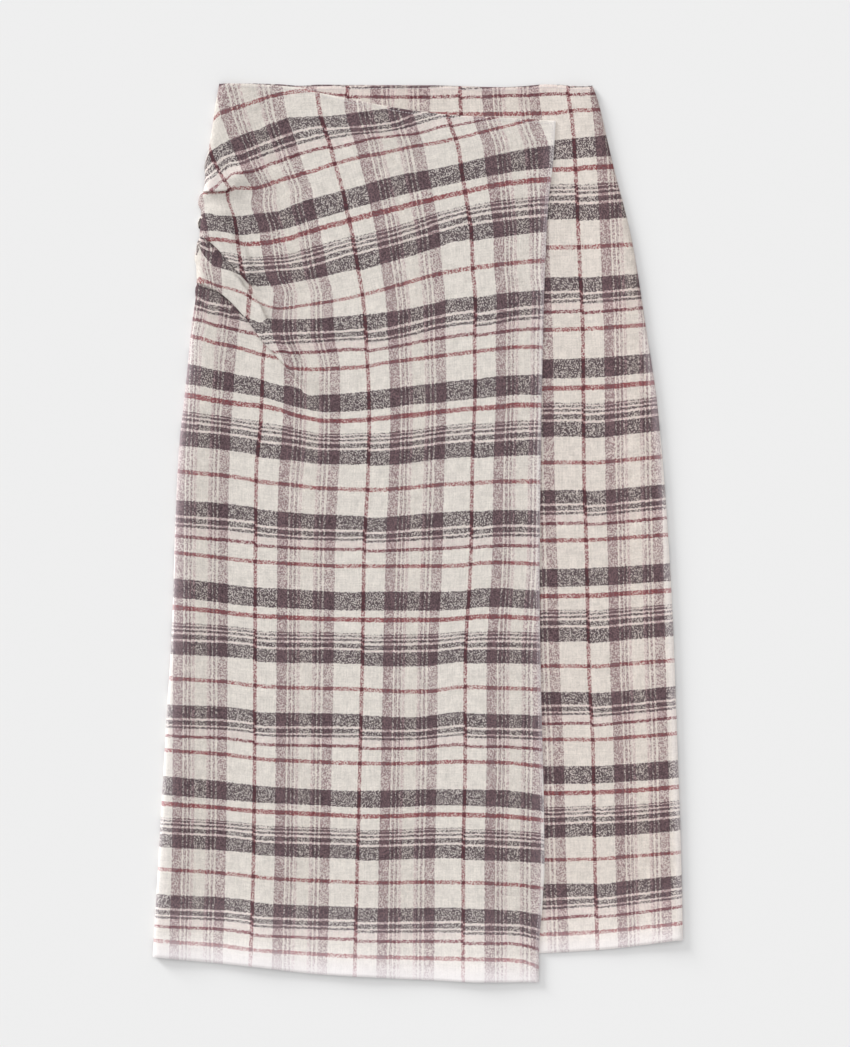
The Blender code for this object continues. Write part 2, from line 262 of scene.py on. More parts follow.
CROSSWISE = table(
    Band,
    (0, 'charcoal', 0.6), (17.7, 'ivory', 0.6), (24.5, 'red', 0.62), (28.8, 'ivory', 0.54),
    (40.6, 'charcoal', 0.3), (41.9, 'blush', 0.6), (42.9, 'charcoal', 0.46), (45.0, 'blush', 0.55),
    (46.8, 'charcoal', 0.56), (49.3, 'blush', 0.55), (51.3, 'charcoal', 0.56), (56.1, 'blush', 0.55),
    (58.2, 'charcoal', 0.6), (72.5, 'ivory', 0.6), (94.0, 'red', 0.46), (97.7, 'ivory', 0.6),
    (121.5, 'charcoal', 0.6), (134.7, 'blush', 0.55), (137.1, 'charcoal', 0.56), (141.4, 'blush', 0.5),
    (142.8, 'charcoal', 0.56), (145.7, 'blush', 0.56), (152.3, 'wine', 0.56), (155.7, 'ivory', 0.6),
    (168.0, 'red', 0.52), (171.3, 'ivory', 0.6),
)
YARNS = {
    "ivory": (217, 212, 206),
    "oat": (207, 200, 193),
    "blush": (214, 202, 199),
    "rose": (172, 148, 150),
    "mauve": (133, 109, 113),
    "red": (130, 66, 70),
    "claret": (124, 72, 77),
    "wine": (108, 52, 60),
    "charcoal": (71, 60, 65),
}
# How far the crosswise bands step down where they pass a red stripe, between places in their repeat
Step = namedtuple("Step", "place drop")
WEAVING_STEPS = table(
    Step,
    (0, 0), (27, 0), (43, 1.7), (72, 1.7), (95, 0), (122, 1.2), (136, 2.6), (155, 2.0), (170, 0),
)
MOST_DROP = 4
# A chart's alpha can't be below zero, so the lengthwise hold is kept this much higher there
EVEN_HOLD = 0.5
# The floats: how wide a yarn is, how far it runs before its floats end elsewhere, and by how much
YARN_WIDTH = 1.15
FLOAT_RUN = 6
CROSSWISE_JITTER = 0.9
LENGTHWISE_JITTER = 0.63
# The twill's diagonal, its share in where a float ends, and the uneven grain that has the rest
TWILL_PITCH = 2.4
TWILL_SHARE = 0.2
GRAIN = 0.86
GRAIN_STRETCH = (1.15, 0.95)
GRAIN_CONTRAST = 4.0
GRAIN_MIDDLE = 0.46
FLOAT_SOFTNESS = 0.11
# The nap veils the speckle, from its least share upwards
NAP_SCALE = 0.07
NAP_CHANGE = 0.25
LEAST_NAP = 0.20
# Where two dark yarns cross: the darkness from which and to which they deepen, how far, and their tone
DEEP_FROM = 0.36
DEEP_TO = 0.54
DEEPEST = 0.34
DEEP_TONE = (52, 42, 47)
# Slubs along the lengthwise and the crosswise yarns, and mottling
Uneven = namedtuple("Uneven", "across along shift detail shade")
UNEVENNESS = table(Uneven, (0.8, 0.06, 0, 2, 0.16), (0.06, 0.8, 2, 2, 0.13), (0.12, 0.12, 9, 3, 0.16))
YARN_SHADE = 0.06
BASE_SHADE = 0.757
# Painted highlight first lifts the plaid as a whole, up to this amount, and then blends it towards a pale
# highlight tone
LIFT_FULL = 0.3
MOST_LIFT = 1.09
HIGHLIGHT_TONE = (252, 248, 251)
# The fine relief of the floats and of the nap's fibres
FLOAT_RELIEF = 0.5
NAP_FIBRE = 0.8
NAP_RELIEF = 0.6
RELIEF_STRENGTH = 0.3
CLOTH_RELIEF = 0.0005
DISPLAY_GAMMA = 2.2


def tone(colour, cover=1.0):
    """A yarn's colour as shares, with its cover beside it."""
    return tuple(number / 255 for number in colour) + (cover,)


class Weaving:
    """Adds nodes to a cloth's material, each fed by numbers or by other nodes' sockets."""

    def __init__(self, name):
        self.material = bpy.data.materials.new(name)
        self.material.use_nodes = True
        self.tree = self.material.node_tree
        self.shader = self.tree.nodes["Principled BSDF"]

    def feed(self, socket, value):
        """Joins a socket to another node's, or sets it to a number or colour."""
        if isinstance(value, bpy.types.NodeSocket):
            self.tree.links.new(value, socket)
        else:
            socket.default_value = value

    def add(self, kind, output=0, settings=(), **inputs):
        """A node of a kind, with what goes into it by name."""
        node = self.tree.nodes.new("ShaderNode" + kind)
        for name, value in dict(settings).items():
            setattr(node, name, value)
        for name, value in inputs.items():
            self.feed(node.inputs[name.replace("_", " ")], value)
        return node.outputs[output]

    def fill(self, node, values):
        for socket, value in zip(node.inputs, values):
            self.feed(socket, value)
        return node.outputs[0]

    def sum(self, operation, *values):
        """One step of arithmetic."""
        node = self.tree.nodes.new("ShaderNodeMath")
        node.operation = operation
        return self.fill(node, values)

    def plus(self, first, second):
        return self.sum("ADD", first, second)

    def minus(self, first, second):
        return self.sum("SUBTRACT", first, second)

    def times(self, first, second):
        return self.sum("MULTIPLY", first, second)

    def part(self, value, repeat):
        """How far a value is into its repeat, from 0 to 1."""
        return self.sum("FRACT", self.sum("DIVIDE", value, repeat))

    def number(self, value, width):
        """Which yarn or stretch a value falls in."""
        return self.sum("FLOOR", self.sum("DIVIDE", value, width))

    def point(self, across, along, up=0.0):
        return self.fill(self.tree.nodes.new("ShaderNodeCombineXYZ"), (across, along, up))

    def noise(self, place, scale, detail=1.0):
        return self.add("TexNoise", Vector=place, Scale=scale, Detail=detail, Roughness=0.5)

    def chance(self, *place):
        """A number of its own for each yarn or stretch."""
        return self.add("TexWhiteNoise", Vector=self.point(*place))

    def late(self, yarn, stretch, seed, jitter):
        """How much later than the others a yarn ends its float."""
        return self.times(self.minus(self.chance(yarn, stretch, seed), 0.5), jitter)

    def blend(self, amount, first, second, way="MIX"):
        node = self.tree.nodes.new("ShaderNodeMix")
        node.data_type = "RGBA"
        node.blend_type = way
        for number, value in ((0, amount), (6, first), (7, second)):
            self.feed(node.inputs[number], value)
        return node.outputs[2]

    def scale(self, value, low, high, least, most, way="LINEAR"):
        """Brings a value from between low and high to between least and most."""
        return self.add("MapRange", settings={"interpolation_type": way}, Value=value,
                        From_Min=low, From_Max=high, To_Min=least, To_Max=most)

    def shade(self, colour, amount):
        """Makes a colour darker or lighter all over."""
        return self.blend(1.0, colour, self.point(amount, amount, amount), "MULTIPLY")

    def darkness(self, colour):
        parts = self.tree.nodes.new("ShaderNodeSeparateColor")
        self.feed(parts.inputs[0], colour)
        return self.minus(1.0, parts.outputs[1])

    def chart(self, place, stops, interpolation="CONSTANT"):
        """A colour ramp with stops of (place, colour): its colour and its alpha."""
        node = self.tree.nodes.new("ShaderNodeValToRGB")
        ramp = node.color_ramp
        ramp.interpolation = interpolation
        ramp.elements.remove(ramp.elements[1])
        for number, (at, colour) in enumerate(stops):
            stop = ramp.elements[0] if number == 0 else ramp.elements.new(at)
            stop.position = at
            stop.color = colour
        self.feed(node.inputs[0], place)
        return node.outputs

    def yarn_bands(self, at, repeat, bands, base):
        """The yarn bands along one way of the cloth, with their cover above a base as the alpha."""
        stops = [(band.start / repeat, tone(YARNS[band.yarn], base + band.cover)) for band in bands]
        return self.chart(self.part(at, repeat), stops)

    def finish(self, colour, relief, height, **even):
        """Gives the shader its colour, its fine relief of a height in metres, and what is even all over."""
        bump = self.add("Bump", Strength=RELIEF_STRENGTH, Distance=height, Height=relief)
        self.feed(self.shader.inputs["Base Color"], self.add("Gamma", Color=colour, Gamma=DISPLAY_GAMMA))
        self.feed(self.shader.inputs["Normal"], bump)
        for name, value in even.items():
            self.shader.inputs[name.replace("_", " ")].default_value = value
        return self.material


def weave_plaid(name, tint, seed):
    """The brushed twill with its plaid: a broken twill in which light and dark yarns speckle each other."""
    make = Weaving(name)
    weave = make.add("UVMap", settings={"uv_map": "weave"})
    place = make.tree.nodes.new("ShaderNodeSeparateXYZ")
    make.feed(place.inputs[0], weave)
    across = make.times(place.outputs[0], LENGTHWISE_REPEAT)
    along = make.times(place.outputs[1], CROSSWISE_REPEAT)

    def spread(by_across, by_along, shift=0):
        """The place on the cloth, with its own scale across and along."""
        return make.point(make.times(across, by_across), make.times(along, by_along), seed + shift)

    # Each yarn ends its floats a little sooner or later than the next
    yarn_across, yarn_along = make.number(across, YARN_WIDTH), make.number(along, YARN_WIDTH)
    late_across = make.late(yarn_across, make.number(along, FLOAT_RUN), seed, CROSSWISE_JITTER)
    late_along = make.late(yarn_along, make.number(across, FLOAT_RUN), seed, LENGTHWISE_JITTER)
    # The crosswise bands step down where they pass a red stripe
    steps = [(step.place / CROSSWISE_REPEAT, (step.drop / MOST_DROP,) * 3 + (1,)) for step in WEAVING_STEPS]
    drop = make.times(make.chart(make.sum("FRACT", place.outputs[1]), steps, "LINEAR")[0], MOST_DROP)
    drop = make.times(drop, make.minus(make.sum("FRACT", place.outputs[0]), 0.5))
    stepped = make.plus(make.plus(along, drop), late_across)
    lengthwise = make.yarn_bands(make.plus(across, late_along), LENGTHWISE_REPEAT, LENGTHWISE, EVEN_HOLD)
    crosswise = make.yarn_bands(stepped, CROSSWISE_REPEAT, CROSSWISE, 0)
    cover = make.times(crosswise[1], make.minus(1 + EVEN_HOLD, lengthwise[1]))
    # The broken twill: light and dark floats of uneven length speckle each other
    grain = make.noise(spread(*GRAIN_STRETCH), GRAIN)
    grain = make.plus(make.times(make.minus(grain, 0.5), GRAIN_CONTRAST), GRAIN_MIDDLE)
    diagonal = make.part(make.minus(along, across), TWILL_PITCH)
    float_end = make.plus(make.times(grain, 1 - TWILL_SHARE), make.times(diagonal, TWILL_SHARE))
    shown = make.scale(make.minus(cover, float_end), -FLOAT_SOFTNESS, FLOAT_SOFTNESS, 0.0, 1.0, "SMOOTHSTEP")
    # The nap hides a part of the speckle, more in some places than in others
    flat = make.point(across, along, seed)
    nap = make.plus(make.times(make.noise(flat, NAP_SCALE, 2), NAP_CHANGE), LEAST_NAP)
    veil = make.blend(cover, lengthwise[0], crosswise[0])
    sharp = make.blend(shown, lengthwise[0], crosswise[0])
    colour = make.blend(nap, sharp, veil)
    # Where two dark yarns cross, little light comes back
    depth = make.times(make.darkness(lengthwise[0]), make.darkness(crosswise[0]))
    colour = make.blend(make.scale(depth, DEEP_FROM, DEEP_TO, 0.0, DEEPEST), colour, tone(DEEP_TONE))
    # Single yarns, slubs and mottling
    amount = make.times(make.chance(yarn_across, yarn_along, seed), YARN_SHADE)
    for uneven in UNEVENNESS:
        noise = make.noise(spread(uneven.across, uneven.along, uneven.shift), 1.0, uneven.detail)
        amount = make.plus(amount, make.times(noise, uneven.shade))
    colour = make.shade(colour, make.plus(amount, BASE_SHADE))
    colour = make.blend(1.0, colour, tone(tint), "MULTIPLY")
    # Painted highlight: where the edges and hems catch the light, the cloth turns lighter and then pale
    highlight_amount = make.add("Attribute", 2, {"attribute_name": "painted_highlight"})
    colour = make.shade(colour, make.scale(highlight_amount, 0.0, LIFT_FULL, 1.0, MOST_LIFT))
    colour = make.blend(highlight_amount, colour, tone(HIGHLIGHT_TONE))
    fibres = make.times(make.noise(flat, NAP_FIBRE, 2), NAP_RELIEF)
    relief = make.plus(make.times(shown, FLOAT_RELIEF), fibres)
    return make.finish(colour, relief, CLOTH_RELIEF, Roughness=0.9, Specular_IOR_Level=0.2, Sheen_Weight=0.08,
                       Sheen_Roughness=0.5)


BACK_SHARES = np.linspace(0, 1, 97)
BACK_ROWS = 200
BACK_STRIPE = -57.0
# Placed so that a charcoal band of the back's own plaid lies along its waist edge where it peeks above the
# fronts, as painted shadow for the dark line there
BACK_SHADOW_BAND = -52.6
BACK_BOW = 0.00006
back_roll = SEAM_HEIGHT - GAP / 2 - BACK_LEVEL
back_grid = panel(
    lambda down: left_side(down) + back_roll,
    lambda down: right_side(down) - back_roll,
    BACK_WAIST, BACK_HEM, BACK_SHARES, BACK_ROWS, lambda across, down: BACK_LEVEL + 0 * across,
)
back_across = back_grid[:, :, 0]
columns = [back_grid[:, number] for number in range(back_grid.shape[1])]
places = [back_across[:, number] for number in range(back_across.shape[1])]
left, right = (columns[0], places[0]), (columns[-1], places[-1])
for angle in reversed(ROLL_ANGLES):
    turn = np.radians(angle)
    sideways, upwards = back_roll * np.sin(turn), back_roll * (1 - np.cos(turn))
    columns.insert(0, left[0] + np.array([-sideways, 0, upwards]))
    columns.append(right[0] + np.array([sideways, 0, upwards]))
    places.insert(0, left[1] - back_roll * turn)
    places.append(right[1] + back_roll * turn)
back_grid, back_across = np.stack(columns, axis=1), np.stack(places, axis=1)
back_weave = np.stack([
    (back_across - BACK_STRIPE) / LENGTHWISE_REPEAT,
    (back_grid[:, :, 1] - BACK_SHADOW_BAND + BACK_BOW * back_across ** 2) / CROSSWISE_REPEAT,
], axis=2)
back_plaid = weave_plaid("back_plaid", tint=(250, 248, 246), seed=31.0)
back = lay_cloth("back_panel_cloth", back_grid, back_weave, 0 * back_across, back_plaid)
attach(back, "root")
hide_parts("back_panel")

# The under front: the same twill, sewn to the back at the right side and left free under the over front. Its
# hem is turned, and its right side rolls down to the seam.

UNDER_LEVEL = BACK_LEVEL + WALL + GAP
ROLL_FOOT = SEAM_HEIGHT + GAP / 2
ROLL_WIDTH = 6.0
CREST_HEIGHT = 5.4
CREST_FADE = 55.0
UNDER_WAIST = table(
    Edge,
    (-170, 3.0), (-98, 2.2), (-60, 1.4), (16, 1.3), (44, 2.1), (84, 3.0), (104, 2.1), (128, 0.3), (144, 1.4),
    (156, 3.0), (168, 3.2), (174, 2.6),
)
UNDER_HEM = table(Edge, (-183, 872.0), (0, 872.0), (122, 869.5), (182, 866.0), (265, 855.5))
Line = namedtuple("Line", "down across")
UNDER_EDGE = table(Line, (0, -163.0), (450, -175.0), (880, -183.0))

# Soft waves in the fronts, from where they start down to the hem
Wave = namedtuple("Wave", "start across_start across_hem width height")
WAVES = table(
    Wave,
    (430, -125, -160, 34, 1.5), (380, -40, -58, 40, 1.1), (470, 62, 66, 30, 1.5), (300, 176, 206, 26, 1.3),
)


def wave_height(across, down):
    """How far the waves lift the fronts."""
    height = 0
    for wave in WAVES:
        along = (down - wave.start) / (LENGTH - wave.start)
        line = wave.across_start + (wave.across_hem - wave.across_start) * along
        height = height + wave.height * smooth(along) * np.exp(-(((across - line) / wave.width) ** 2))
    return height


def front_level(across, down):
    """Height of the under front's middle surface: its level, the waves and the rise to the right side."""
    to_crest = read(SIDES, "down", "right", down) - WALL / 2 - ROLL_WIDTH - across
    rise = (CREST_HEIGHT - UNDER_LEVEL) * (1 - smooth(to_crest / CREST_FADE))
    return UNDER_LEVEL + wave_height(across, down) + rise


# Where the plaid lies on the cloth as it is draped. A stripe or a band is followed from point to point, and
# "layer" counts the pleats that lie above that stretch of it.
VIEW_MIDDLE = 418.0
VIEW_WAIST = 84.0
LEAST_SPAN = 0.01
Stripe = namedtuple("Stripe", "repeats layer points")
Crossing = namedtuple("Crossing", "place layer points")

# Painted highlight along an edge that turns towards the light: how strong it is at the edge, and how far in
# it reaches
Highlight = namedtuple("Highlight", "amount reach")
# The under front's painted highlight at its hem, and along its right side's roll from the hip down, starting
# this far in from the side
UNDER_HEM_HIGHLIGHT = table(Highlight, (0.15, 80), (0.45, 25))
RIGHT_EDGE_HIGHLIGHT = table(Highlight, (0.3, 8))
RIGHT_HIGHLIGHT_INSET = 2
HIP = 210
HIP_FADE = 60


def marks(kind, *layers):
    """The stripes or bands that are marked on each layer of the cloth, by their place in the plaid."""
    return [kind(place, layer, points) for layer, rows in enumerate(layers) for place, points in rows.items()]


def mark(point):
    """A point of the view in the skirt's own millimetres."""
    return point[0] - VIEW_MIDDLE, point[1] - VIEW_WAIST


def pick(layers, row):
    """Takes the value in its own row of many layers of values, for each point of the cloth."""
    return np.take_along_axis(layers, row[None], 0)[0]


def weave_along(across, unfolded, crossings, hidden, edges=()):
    """The place in the crosswise repeat at each point of the cloth, between the bands marked on it."""
    places, values = [], []
    for crossing in crossings:
        points = sorted(mark(point) for point in crossing.points)
        keys = [point[0] for point in points]
        at = follow(keys, [point[1] for point in points], across) + hidden(crossing.layer, across)
        outside = (across < keys[0]) | (across > keys[-1])
        places.append(np.where(outside, np.inf, at))
        values.append(crossing.place + 0 * across)
    for at, value in edges:
        places.append(at)
        values.append(value)
    places, values = np.array(places), np.array(values)
    order = np.argsort(places, axis=0)
    places, values = np.take_along_axis(places, order, 0), np.take_along_axis(values, order, 0)
    values = np.where(np.isinf(places), -np.inf, values)
    values = np.maximum.accumulate(values, axis=0)
    known = (~np.isinf(places)).sum(axis=0)
    row = np.clip((places <= unfolded).sum(axis=0), 1, known - 1)
    start, end = pick(places, row - 1), pick(places, row)
    first, last = pick(values, row - 1), pick(values, row)
    between = first + (last - first) * (unfolded - start) / np.maximum(end - start, LEAST_SPAN)
    between = np.where(unfolded < start, first + unfolded - start, between)
    return np.where(unfolded > end, last + unfolded - end, between)


def weave_across(across, unfolded, stripes, hidden):
    """The place in lengthwise repeats at each point of the cloth, between the red stripes marked on it."""
    numbers = sorted({stripe.repeats for stripe in stripes})
    lines = []
    for number in numbers:
        points = []
        for stripe in stripes:
            if stripe.repeats == number:
                for x, y in map(mark, stripe.points):
                    points.append((y + float(hidden(stripe.layer, np.array(x))), x))
        points.sort()
        lines.append(follow([point[0] for point in points], [point[1] for point in points], unfolded))
    lines, numbers = np.array(lines), np.array(numbers, float)
    row = np.clip((lines <= across).sum(axis=0), 1, len(numbers) - 1)
    start, end = pick(lines, row - 1), pick(lines, row)
    first, last = numbers[row - 1], numbers[row]
    return first + (last - first) * (across - start) / (end - start)


def no_pleats(layer, across):
    """The under front has no pleats that take up cloth."""
    return 0 * across


def edge_highlight(distance, highlights):
    """How much painted highlight lies at a distance from an edge."""
    return sum(highlight.amount * smooth(1 - distance / highlight.reach) for highlight in highlights)


def below_hip(down):
    """The painted highlight along the side seams' rolls starts only from the hip down."""
    return smooth((down - HIP) / HIP_FADE)


UNDER_STRIPES = marks(
    Stripe,
    {
        -2: [(347, 95), (352, 500), (360, 960)],
        -1: [(460, 95), (468, 270), (476, 550), (491, 960)],
        0: [(568, 95), (573, 130), (576, 180), (580, 270), (583, 340), (584, 470), (586.5, 550), (589, 670),
            (593, 750), (595, 870), (598, 960)],
        1: [(677, 95), (682, 180), (687, 300), (690, 500), (694, 700), (700, 960)],
    },
)
UNDER_CROSSINGS = marks(
    Crossing,
    {
        -51.8: [(200, 84), (320, 85), (345, 87.4), (375, 87.4), (400, 87.6), (420, 87.7), (430, 87.5),
            (445, 86.9), (456, 87), (463, 88.2), (470, 87.8), (485, 87.8), (500, 86.8), (530, 86.8),
            (545, 84.5), (560, 86), (575, 87), (590, 86.6), (700, 85)],
        -43.5: [(200, 92), (300, 92.6), (320, 93), (340, 95.3), (350, 95.3), (400, 96.3), (430, 97),
            (455, 96.9), (463, 96), (480, 95.4), (500, 94.7), (530, 94.8), (545, 93.9), (560, 94.4),
            (575, 93.4), (590, 92.9), (700, 91)],
        -27.8: [(200, 110), (330, 112), (480, 113.3), (520, 113), (550, 112.6), (563, 111.8), (570, 110.4),
            (600, 109.4), (700, 107)],
        0: [(200, 140), (400, 142), (545, 141), (560, 139.3), (590, 136.8), (612, 134.8), (700, 131)],
        17.5: [(200, 159), (400, 160), (560, 159), (590, 156.8), (612, 155.7), (700, 152)],
        58.5: [(200, 206), (560, 203.3), (590, 203.2), (620, 201.7), (700, 199)],
        121.5: [(200, 278), (560, 277), (590, 276), (630, 274), (700, 270)],
        197.5: [(200, 361), (560, 359), (590, 358), (630, 355.2), (654, 353), (700, 349)],
        256: [(200, 423), (560, 422), (590, 422), (630, 419), (660, 416), (700, 412)],
        319: [(200, 491), (560, 490), (590, 490), (630, 487), (668, 484), (700, 481)],
        395: [(200, 570), (560, 569), (590, 568), (630, 566), (672, 563), (700, 561)],
        453.5: [(200, 629), (560, 628), (590, 628), (630, 625), (674, 622), (700, 620)],
        516.5: [(200, 693), (560, 692), (590, 692.5), (630, 690), (676, 686), (700, 684)],
        592.5: [(200, 767), (560, 766.5), (590, 766.5), (630, 764), (679, 760), (700, 758)],
        651: [(200, 826), (560, 825), (590, 823.5), (630, 822), (681, 818), (700, 816)],
        714: [(200, 885), (560, 884), (590, 884), (630, 880), (683, 875), (700, 873)],
        746.5: [(200, 920), (541, 919), (590, 916.5), (605, 915.5), (640, 912.1), (683, 906.5), (700, 904)],
        762.3: [(200, 936), (541, 934.5), (590, 932.5), (640, 927.6), (683, 922.6), (700, 920)],
    },
)

UNDER_ROWS = 280
HIDDEN_SHARE = 0.62
HIDDEN_COLUMNS = 50
SHOWN_COLUMNS = 53
UNDER_SHARES = np.append(
    np.linspace(0, HIDDEN_SHARE, HIDDEN_COLUMNS, endpoint=False), np.linspace(HIDDEN_SHARE, 1, SHOWN_COLUMNS))
under_grid = panel(
    lambda down: read(UNDER_EDGE, "down", "across", down),
    lambda down: right_side(down) - ROLL_WIDTH,
    UNDER_WAIST, UNDER_HEM, UNDER_SHARES, UNDER_ROWS, front_level,
)
roll, roll_across = [], []
for angle in reversed(ROLL_ANGLES):
    turn = np.radians(angle)
    column = under_grid[:, -1].copy()
    column[:, 0] += ROLL_WIDTH * np.sin(turn)
    column[:, 2] = ROLL_FOOT + (column[:, 2] - ROLL_FOOT) * np.cos(turn)
    roll.append(column)
    roll_across.append(under_grid[:, -1, 0] + ROLL_WIDTH * turn)
under_across = np.concatenate([under_grid[:, :, 0], np.stack(roll_across, axis=1)], axis=1)
under_grid = np.concatenate([under_grid, np.stack(roll, axis=1)], axis=1)
under_down = under_grid[:, :, 1]
under_weave = np.stack([
    weave_across(under_across, under_down, UNDER_STRIPES, no_pleats),
    weave_along(under_across, under_down, UNDER_CROSSINGS, no_pleats) / CROSSWISE_REPEAT,
], axis=2)
under_fall = read(UNDER_HEM, "across", "down", under_across) - under_down
under_side = right_side(under_down) - under_across
# Painted highlight: the hem, and the right side's roll from the hip down
under_highlight = np.maximum(
    edge_highlight(under_fall, UNDER_HEM_HIGHLIGHT),
    edge_highlight(under_side - RIGHT_HIGHLIGHT_INSET, RIGHT_EDGE_HIGHLIGHT) * below_hip(under_down),
)
under_plaid = weave_plaid("under_front_plaid", tint=(255, 250, 247), seed=17.0)
under = lay_cloth("under_front_cloth", under_grid, under_weave, under_highlight, under_plaid)
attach(under, "root")
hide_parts("front_under_panel")

# The over front: the piece that wraps over from the left side. Three side pleats are laid in it at the hip,
# its free edge runs down on the right, and its hem is the lowest.

OVER_LEVEL = UNDER_LEVEL + WALL + GAP
# A pleat's fold: its tightest bend, the cloth in its bends, the least share of a face that stays flat above
# it, how far it spreads where it has faded, and how far it leans out where the side rolls down
LEAST_BEND = 0.95
BEND_CLOTH = 4.0
LEAST_RUN = 0.4
FADED_LENGTH = 22.0
SIDE_LIFT = 0.5
FLAT_TURN = 0.02
PLEAT_ROUNDS = 12
CREASE_FADE = 20.0
# Rows before each pleat and below the last, and those up to an edge, round a bend and just below an edge
OVER_SHARES = np.linspace(0, 1, 117)
OVER_ROWS = (34, 15, 13, 196)
LIFT_ROWS = 7
BEND_STEPS = 8
EDGE_ROW = 1.5
# Painted highlight on the over front at its hem, along its free edge and along its left side's roll
OVER_HEM_HIGHLIGHT = table(Highlight, (0.20, 90), (0.52, 30))
WRAP_EDGE_HIGHLIGHT = table(Highlight, (0.12, 18), (0.36, 3))
LEFT_EDGE_HIGHLIGHT = table(Highlight, (0.2, 22), (0.15, 6))
# Painted highlight on the knuckle above the first pleat, strongest in its middle
KNUCKLE = Edge(-205, 101)
KNUCKLE_SIZE = Edge(9, 7)
KNUCKLE_HIGHLIGHT = 0.36
OVER_WAIST = table(
    Edge,
    (-199, 0.2), (-190, -0.2), (-150, 0.9), (-120, 3.6), (-97, 9.0), (-48, 19.0), (-5, 26.5), (40, 31.5),
    (98, 34.4), (138, 37.0),
)
OVER_HEM = table(
    Edge,
    (-265, 873.0), (-223, 877.0), (-163, 883.0), (-103, 890.0), (-43, 893.5), (17, 896.5), (60, LENGTH),
    (125, LENGTH),
)
WRAP_EDGE = table(
    Line,
    (30, 138.0), (76, 135.0), (121, 130.0), (206, 126.0), (346, 123.0), (500, 121.3), (592, 122.5),
    (746, 126.0), (786, 126.2), (806, 125.0), (830, 123.5), (846, 121.8), (866, 120.8), (898, 120.5),
)

# Soft ridges pressed into the over front by the pleats and by its own weight
Crease = namedtuple("Crease", "start end width height")
CREASES = table(
    Crease,
    ((-172, 214), (-145, 225), 3.0, 0.8), ((-112, 288), (-100, 312), 3.5, 0.7),
    ((-196, 190), (-168, 210), 3.5, 0.8), ((-190, 78), (-150, 96), 9.0, 1.2),
    ((-60, 40), (110, 62), 16.0, 0.8), ((-100, 330), (-30, 372), 16.0, 0.9),
    ((-120, 240), (-20, 232), 14.0, 0.6),
)


def crease_height(across, down):
    """How far the creases lift the over front."""
    height = 0
    for crease in CREASES:
        run = np.array(crease.end) - np.array(crease.start)
        length = np.hypot(*run)
        along = ((across - crease.start[0]) * run[0] + (down - crease.start[1]) * run[1]) / length
        aside = ((across - crease.start[0]) * run[1] - (down - crease.start[1]) * run[0]) / length
        ends = 1
        for inside in (along, length - along):
            ends = ends * smooth((inside + crease.width) / (2 * crease.width))
        height = height + crease.height * ends * np.exp(-((aside / crease.width) ** 2))
    return height


def over_level(across, down):
    """Height of the over front's middle surface, with its own rise to the left side."""
    from_crest = across - read(SIDES, "down", "left", down) - WALL / 2 - ROLL_WIDTH
    rise = (CREST_HEIGHT - OVER_LEVEL) * (1 - smooth(from_crest / CREST_FADE))
    calm = smooth(from_crest / CREASE_FADE)
    return front_level(across, down) + (OVER_LEVEL - UNDER_LEVEL) + rise + calm * crease_height(across, down)


def pleat_section(depth, turn, step):
    """Runs through an S-fold: forwards over its outer bend, back under it, and forwards again."""
    hidden = max(depth - 2 * LEAST_BEND, 0)
    bend = (step - hidden * np.sin(turn)) / max(2 * (1 - np.cos(turn)), FLAT_TURN)
    bend = max(bend, LEAST_BEND * turn / np.pi)
    angles = turn * np.arange(BEND_STEPS + 1) / BEND_STEPS
    outer = np.array([bend * np.sin(angles), -bend * (1 - np.cos(angles))])
    start = outer[:, -1] + hidden * np.array([np.cos(turn), -np.sin(turn)])
    back_turn = angles[::-1]
    inner = np.array([bend * (np.sin(turn) - np.sin(back_turn)), -bend * (np.cos(back_turn) - np.cos(turn))])
    section = np.hstack([outer, start[:, None] + inner])
    section[0] -= bend * np.sin(min(turn, np.pi / 2))
    section[1] -= section[1, -1]
    section[0] += FADED_LENGTH * (1 - smooth(turn / np.pi)) * np.linspace(-0.5, 0.5, section.shape[1])
    return section


def hidden_cloth(layer, across):
    """The cloth that the first pleats take up at a distance across."""
    length = 0 * across
    for pleat in PLEATS[:layer]:
        depth, turn = read(pleat, "across", "depth", across), read(pleat, "across", "turn", across)
        length = length + 2 * depth + BEND_CLOTH * smooth(turn / 180)
    return length


def over_across(share, turn, down):
    """A column's distance across: its share of the face's width, and how far the roll has turned there."""
    crest = left_side(down) + ROLL_WIDTH
    return crest + share * (read(WRAP_EDGE, "down", "across", down) - crest) - ROLL_WIDTH * np.sin(turn)


